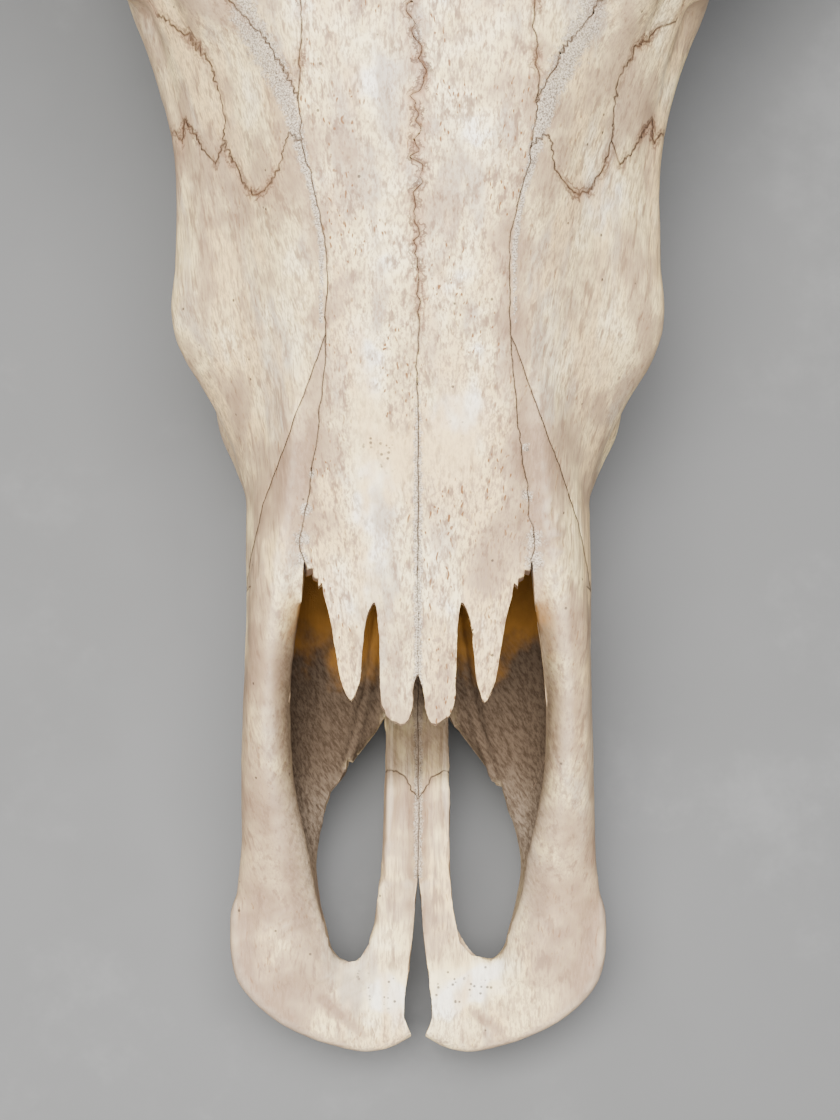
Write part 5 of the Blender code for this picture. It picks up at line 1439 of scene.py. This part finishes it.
tree, given, result = new_group(
    "suture_stain",
    {"Color": "Color", "Place": "Vector", "Distance": "Float", "Rust": "Float"},
    {"Color": "Color"})
place, distance, rust = given["Place"], given["Distance"], given["Rust"]
uneven = maths(tree, "MULTIPLY_ADD", grain(tree, place, 420, 3.0, 0.6), 1.5, -0.75)
from_seam = maths(tree, "ADD", distance, uneven)
patch = band(tree, grain(tree, place, 170, 3.0, 0.6), 0.34, 0.58)
halo = times(tree, band(tree, from_seam, 4.5, 0.2, 0.0, 0.8), rust, patch)
stained = mixed(tree, halo, given["Color"], RUST)
wander = maths(tree, "MULTIPLY_ADD", grain(tree, place, 520, 3.0, 0.7), 6.0, -4.4)
beside = maths(tree, "ABSOLUTE", maths(tree, "ADD", distance, wander))
patch = band(tree, grain(tree, place, 260, 2.0), 0.36, 0.50)
beside = times(tree, band(tree, beside, 0.8, 0.2), band(tree, distance, 4.6, 2.6), rust, patch)
stained = mixed(tree, times(tree, beside, 0.85), stained, DARK_RUST)
line_width = maths(tree, "MULTIPLY_ADD", rust, 0.70, 0.42)
line = add(tree, "MapRange", {"Value": distance, "From Min": line_width, "From Max": 0.05},
           interpolation_type="LINEAR").outputs["Result"]
faded = band(tree, grain(tree, place, 260, 2.0), 0.30, 0.52, 0.55, 1.0)
line = times(tree, line, faded, 0.92)
ink = mixed(tree, rust, INK, RUSTY_INK)
put_out(tree, result, {"Color": mixed(tree, line, stained, ink)})
suture_stain = tree

tree, given, result = new_group(
    "porous_bone",
    {"Color": "Color", "Place": "Vector", "Amount": "Float"},
    {"Color": "Color", "Height": "Float"})
place = given["Place"]
edge = maths(tree, "MULTIPLY_ADD", grain(tree, place, 480, 3.0, 0.65), 1.6, -0.8)
share = band(tree, maths(tree, "ADD", given["Amount"], edge), 0.25, 0.75)
fine = grain(tree, place, 1900, 3.0, 0.7)
ash = mixed(tree, band(tree, fine, 0.38, 0.60), DARK_ASH, PALE_ASH)
pores = band(tree, grain(tree, place, 1100, 1.0), 0.64, 0.72, 0.0, 0.6)
ash = mixed(tree, pores, ash, PORE)
put_out(tree, result, {"Color": mixed(tree, times(tree, share, 0.85), given["Color"], ash),
                       "Height": times(tree, maths(tree, "SUBTRACT", fine, pores), given["Amount"])})
porous_bone = tree

tree, given, result = new_group(
    "bone_dirt_and_shade",
    {"Color": "Color", "Place": "Vector", "Hollow": "Float", "Ridge": "Float", "Cavity": "Float"},
    {"Color": "Color"})
place = given["Place"]
patchy = grain(tree, place, 90, 3.0, 0.65)
# Painted shade in hollows, patchy like dirt: the deeper a point lies among its surroundings, the more grime
# colour.
depth = times(tree, band(tree, given["Hollow"], 0.2, 3.0, 0.0, 0.9), band(tree, patchy, 0.25, 0.6, 0.35, 1.0))
dirty_and_shaded = mixed(tree, depth, given["Color"], GRIME_AND_SHADE)
# Points that stick out are painted paler: rubbed wear, and a painted highlight.
dirty_and_shaded = mixed(tree, band(tree, given["Ridge"], 0.05, 0.2, 0.0, 0.15), dirty_and_shaded, RUBBED_BONE_AND_HIGHLIGHT)
across = add(tree, "SeparateXYZ", {0: place}).outputs
ragged_edge = maths(tree, "MULTIPLY_ADD", grain(tree, place, 55, 4.0, 0.6), 0.05, -0.025)
depth_in = maths(tree, "ADD", across[1], ragged_edge)
far_back = band(tree, depth_in, 0.127 + SHIFT[1] * MM, 0.145 + SHIFT[1] * MM)
turned = add(tree, "VectorRotate", {"Vector": place, "Angle": -0.55}, rotation_type="Z_AXIS").outputs[0]
striped = band(tree, grain(tree, turned, 1100, 3.0, 0.7, (1, 0.3, 0.5)), 0.30, 0.68)
palate = mixed(tree, striped, PALATE_DARK, PALATE_PALE)
under_tips = band(tree, across[1], 0.070 + SHIFT[1] * MM, 0.104 + SHIFT[1] * MM, 0.0, 0.85)
palate = mixed(tree, under_tips, palate, mixed(tree, striped, SHADED_DARK, SHADED_PALE))
# Deep inside, the nose is an ochre stain, darkened further as painted shade.
ochre = mixed(tree, patchy, OCHRE, DARK_OCHRE)
inside = mixed(tree, far_back, palate, ochre)
# The inside of the nose and the rims' inner slopes take these colours: their own stain and painted shade.
put_out(tree, result, {"Color": mixed(tree, given["Cavity"], dirty_and_shaded, inside)})
bone_dirt_and_shade = tree
print("layers:", suture_stain.name, porous_bone.name, bone_dirt_and_shade.name)

# %% [markdown]
# ## Bone and nasal bone
# Both finishes stack the same layers. The nasals carry more flecks and finer fibres than the thick bones
# beside them. The walls inside a suture, which only show at a gap or a broken tip, are plain brown.

# %% Finishes: old bone and nasal bone
WALL_BROWN = colour(0.20, 0.125, 0.08)


def bone_finish(finish, flecks, fibres, bump):
    """Tone, porous strips, suture stain and dirt, in this order, over one Principled shader.

    The tone and the dirt also carry painted shade and highlight.
    """
    tree, place, shader = opened(finish)
    skin_layer = add(tree, "Group", {}, node_tree=bone_tone)
    for name, value in {"Flecks": flecks, "Fibres": fibres}.items():
        skin_layer.inputs[name].default_value = value
    tree.links.new(place, skin_layer.inputs["Place"])
    tree.links.new(kept(tree, "tone"), skin_layer.inputs["Tone"])
    porous = add(tree, "Group", {}, node_tree=porous_bone)
    tree.links.new(skin_layer.outputs["Color"], porous.inputs["Color"])
    tree.links.new(place, porous.inputs["Place"])
    tree.links.new(kept(tree, "porous"), porous.inputs["Amount"])
    stain = add(tree, "Group", {}, node_tree=suture_stain)
    for name, value in {"Color": porous.outputs["Color"], "Place": place, "Distance": kept(tree, "seam"),
                        "Rust": kept(tree, "rusty")}.items():
        tree.links.new(value, stain.inputs[name])
    dirt_and_shade_layer = add(tree, "Group", {}, node_tree=bone_dirt_and_shade)
    for name, value in {"Color": stain.outputs["Color"], "Place": place, "Hollow": kept(tree, "hollow"),
                        "Ridge": kept(tree, "ridge"), "Cavity": kept(tree, "cavity")}.items():
        tree.links.new(value, dirt_and_shade_layer.inputs[name])
    walls = mixed(tree, times(tree, kept(tree, "cut_wall"), 0.9), dirt_and_shade_layer.outputs["Color"], WALL_BROWN)
    tree.links.new(walls, shader.inputs["Base Color"])
    shine = band(tree, grain(tree, place, 120, 3.0), 0.3, 0.7, 0.50, 0.70)
    tree.links.new(maths(tree, "MAXIMUM", shine, kept(tree, "cavity")), shader.inputs["Roughness"])
    gloss = band(tree, kept(tree, "cavity"), 0.0, 0.8, 0.35, 0.05)
    tree.links.new(gloss, shader.inputs["Specular IOR Level"])
    relief = maths(tree, "ADD", skin_layer.outputs["Height"], times(tree, porous.outputs["Height"], 2.2))
    dent = add(tree, "Bump", {"Height": relief, "Strength": bump, "Distance": 0.0004})
    tree.links.new(dent.outputs["Normal"], shader.inputs["Normal"])


bone_finish("old_bone", flecks=0.5, fibres=0.8, bump=0.55)
bone_finish("nasal_bone", flecks=0.9, fibres=1.0, bump=0.6)
print("bone finishes:", len(finishes["old_bone"].node_tree.nodes), "nodes each")

# %% [markdown]
# ## Teeth
# Enamel is glossy cream with brown stain in its grooves. On the worn face it stands round dull, brown
# dentine, and dark cement clings to the root above the gum line. The attribute made with each tooth says
# where enamel shows.

# %% Finish: tooth
ENAMEL, OLD_ENAMEL, STAIN = colour(0.74, 0.68, 0.54), colour(0.55, 0.43, 0.28), colour(0.42, 0.29, 0.16)
DENTINE, DARK_DENTINE = colour(0.30, 0.17, 0.08), colour(0.10, 0.055, 0.03)
CEMENT = colour(0.24, 0.165, 0.10)

tree, place, shader = opened("tooth")
upright = add(tree, "SeparateXYZ", {0: place}).outputs[2]
cracks = band(tree, grain(tree, place, 900, 3.0, 0.6, (1, 1, 0.08)), 0.52, 0.70)
body = mixed(tree, cracks, ENAMEL, STAIN)
clouds = band(tree, grain(tree, place, 160, 4.0, 0.6), 0.42, 0.66, 0.0, 0.7)
body = mixed(tree, clouds, body, OLD_ENAMEL)
worn = times(tree, band(tree, kept(tree, "enamel"), 0.65, 0.35), band(tree, upright, 0.006, 0.004))
dentine = mixed(tree, grain(tree, place, 400, 3.0), DENTINE, DARK_DENTINE)
body = mixed(tree, worn, body, dentine)
cement = times(tree, band(tree, upright, 0.009, 0.019),
               band(tree, grain(tree, place, 220, 4.0, 0.65), 0.38, 0.58))
body = mixed(tree, times(tree, cement, 0.8), body, CEMENT)
tree.links.new(body, shader.inputs["Base Color"])
dullness = maths(tree, "ADD", times(tree, worn, 0.35), band(tree, upright, 0.004, 0.018, 0.28, 0.60))
tree.links.new(dullness, shader.inputs["Roughness"])
relief = maths(tree, "ADD", cracks, grain(tree, place, 1200, 2.0))
dent = add(tree, "Bump", {"Height": relief, "Strength": 0.35, "Distance": 0.0003})
tree.links.new(dent.outputs["Normal"], shader.inputs["Normal"])
print("tooth nodes:", len(tree.nodes))

# %% [markdown]
# ## Horn sheath
# Horn is the stuff of hooves: grey-black, with fibres that run to the tip. The ridges' crests are rubbed
# pale and dull, dust stays between them, and the tip is smooth and darker. The fibres follow the horn on
# coordinates that were stored round and along it.

# %% Finish: horn sheath
HORN_BLACK, HORN_GREY = colour(0.010, 0.0085, 0.0075), colour(0.030, 0.025, 0.021)
RUBBED_HORN, HORN_DUST = colour(0.085, 0.070, 0.055), colour(0.13, 0.108, 0.085)

tree, place, shader = opened("horn_sheath")
length, crest = kept(tree, "along_horn"), kept(tree, "crest")
wrapped = add(tree, "CombineXYZ", {0: kept(tree, "round_x"), 1: kept(tree, "round_y"), 2: length}).outputs[0]
fibres = grain(tree, wrapped, 26, 5.0, 0.65, (1, 1, 0.35))
flakes = grain(tree, wrapped, 7, 5.0, 0.7, (1, 1, 6))
body = mixed(tree, band(tree, fibres, 0.35, 0.65), HORN_BLACK, HORN_GREY)
rubbed = times(tree, band(tree, crest, 0.35, 0.95), band(tree, flakes, 0.36, 0.62))
body = mixed(tree, times(tree, rubbed, 0.75), body, RUBBED_HORN)
dusty = times(tree, band(tree, length, 0.45, 0.0), band(tree, grain(tree, place, 55, 4.0, 0.65), 0.40, 0.68))
body = mixed(tree, times(tree, dusty, 0.4), body, HORN_DUST)
tree.links.new(body, shader.inputs["Base Color"])
gloss = maths(tree, "ADD", band(tree, length, 0.45, 0.95, 0.50, 0.30), times(tree, rubbed, 0.18))
tree.links.new(gloss, shader.inputs["Roughness"])
relief = maths(tree, "ADD", fibres, times(tree, flakes, 0.8))
dent = add(tree, "Bump", {"Height": relief, "Strength": 0.6, "Distance": 0.0012})
tree.links.new(dent.outputs["Normal"], shader.inputs["Normal"])
print("horn nodes:", len(tree.nodes))

# %% [markdown]
# ## Floor
# The floor is plain pale concrete. Two faint noises keep it from looking like paper.

# %% Finish: floor
CONCRETE, PALE_CONCRETE = colour(0.072, 0.072, 0.071), colour(0.10, 0.10, 0.098)
DRY_CONCRETE = colour(0.135, 0.135, 0.133)

tree, place, shader = opened("floor")
clouds = band(tree, grain(tree, place, 5, 5.0, 0.6), 0.32, 0.68)
body = mixed(tree, clouds, CONCRETE, PALE_CONCRETE)
dry_patches = band(tree, grain(tree, place, 9, 6.0, 0.7), 0.52, 0.72, 0.0, 0.5)
body = mixed(tree, dry_patches, body, DRY_CONCRETE)
tree.links.new(body, shader.inputs["Base Color"])
tree.links.new(band(tree, clouds, 0.0, 1.0, 0.55, 0.68), shader.inputs["Roughness"])
print("floor nodes:", len(tree.nodes))

# %% [markdown]
# ## Floor, light and camera
# The skull lies on a plain pale floor under a large soft lamp. The camera looks down on the nose at the
# photograph's angle.

# %% Floor, lamps and world
FLOOR_SIZE = 6.0
floor_mesh = bpy.data.meshes.new("floor")
half = FLOOR_SIZE / 2
corners = [(-half, -half, 0), (half, -half, 0), (half, half, 0), (-half, half, 0)]
floor_mesh.from_pydata(corners, [], [(0, 1, 2, 3)])
floor = bpy.data.objects.new("floor", floor_mesh)
bpy.context.scene.collection.objects.link(floor)
floor_mesh.materials.append(finishes["floor"])


def soft_lamp(name, place, target, size, power, colour):
    """A square area lamp that looks from its place to a target."""
    light = bpy.data.lights.new(name, "AREA")
    light.shape, light.size, light.energy, light.color = "SQUARE", size, power, colour
    lamp = bpy.data.objects.new(name, light)
    lamp.location = place
    lamp.rotation_euler = (Vector(place) - Vector(target)).to_track_quat("Z", "Y").to_euler()
    bpy.context.scene.collection.objects.link(lamp)
    return lamp


soft_lamp("window", (-0.55, -0.3, 2.2), (0, -0.15, 0.1), 1.3, 104, (1, 0.985, 0.955))
soft_lamp("front", (0.0, -1.7, 0.45), (0, -0.2, 0.0), 0.7, 14, (1, 1, 1))
soft_lamp("sky", (0.3, 0.0, 2.3), (0, -0.1, 0.1), 1.5, 100, (0.99, 0.99, 1))
world = bpy.data.worlds.new("room")
world.use_nodes = True
world.node_tree.nodes["Background"].inputs["Color"].default_value = (0.9, 0.93, 1.0, 1)
world.node_tree.nodes["Background"].inputs["Strength"].default_value = 0.42
bpy.context.scene.world = world

# %% The camera, from the photograph's perspective
FOCAL_PIXELS, PHOTO_HEIGHT, SENSOR = 2560, 1120, 36
LOOK_DOWN = math.radians(80)
CAMERA = np.array((0.6, 16.08, 905.85))
camera = bpy.data.objects.new("camera", bpy.data.cameras.new("camera"))
bpy.context.scene.collection.objects.link(camera)
camera.data.sensor_fit = "AUTO"
camera.data.sensor_width = SENSOR
camera.data.lens = FOCAL_PIXELS * SENSOR / PHOTO_HEIGHT
camera.location = (CAMERA + SHIFT) * MM
back = Vector((0, -math.cos(LOOK_DOWN), math.sin(LOOK_DOWN)))
camera.rotation_euler = back.to_track_quat("Z", "Y").to_euler()
bpy.context.scene.camera = camera
print("lens:", round(camera.data.lens, 2), "mm")
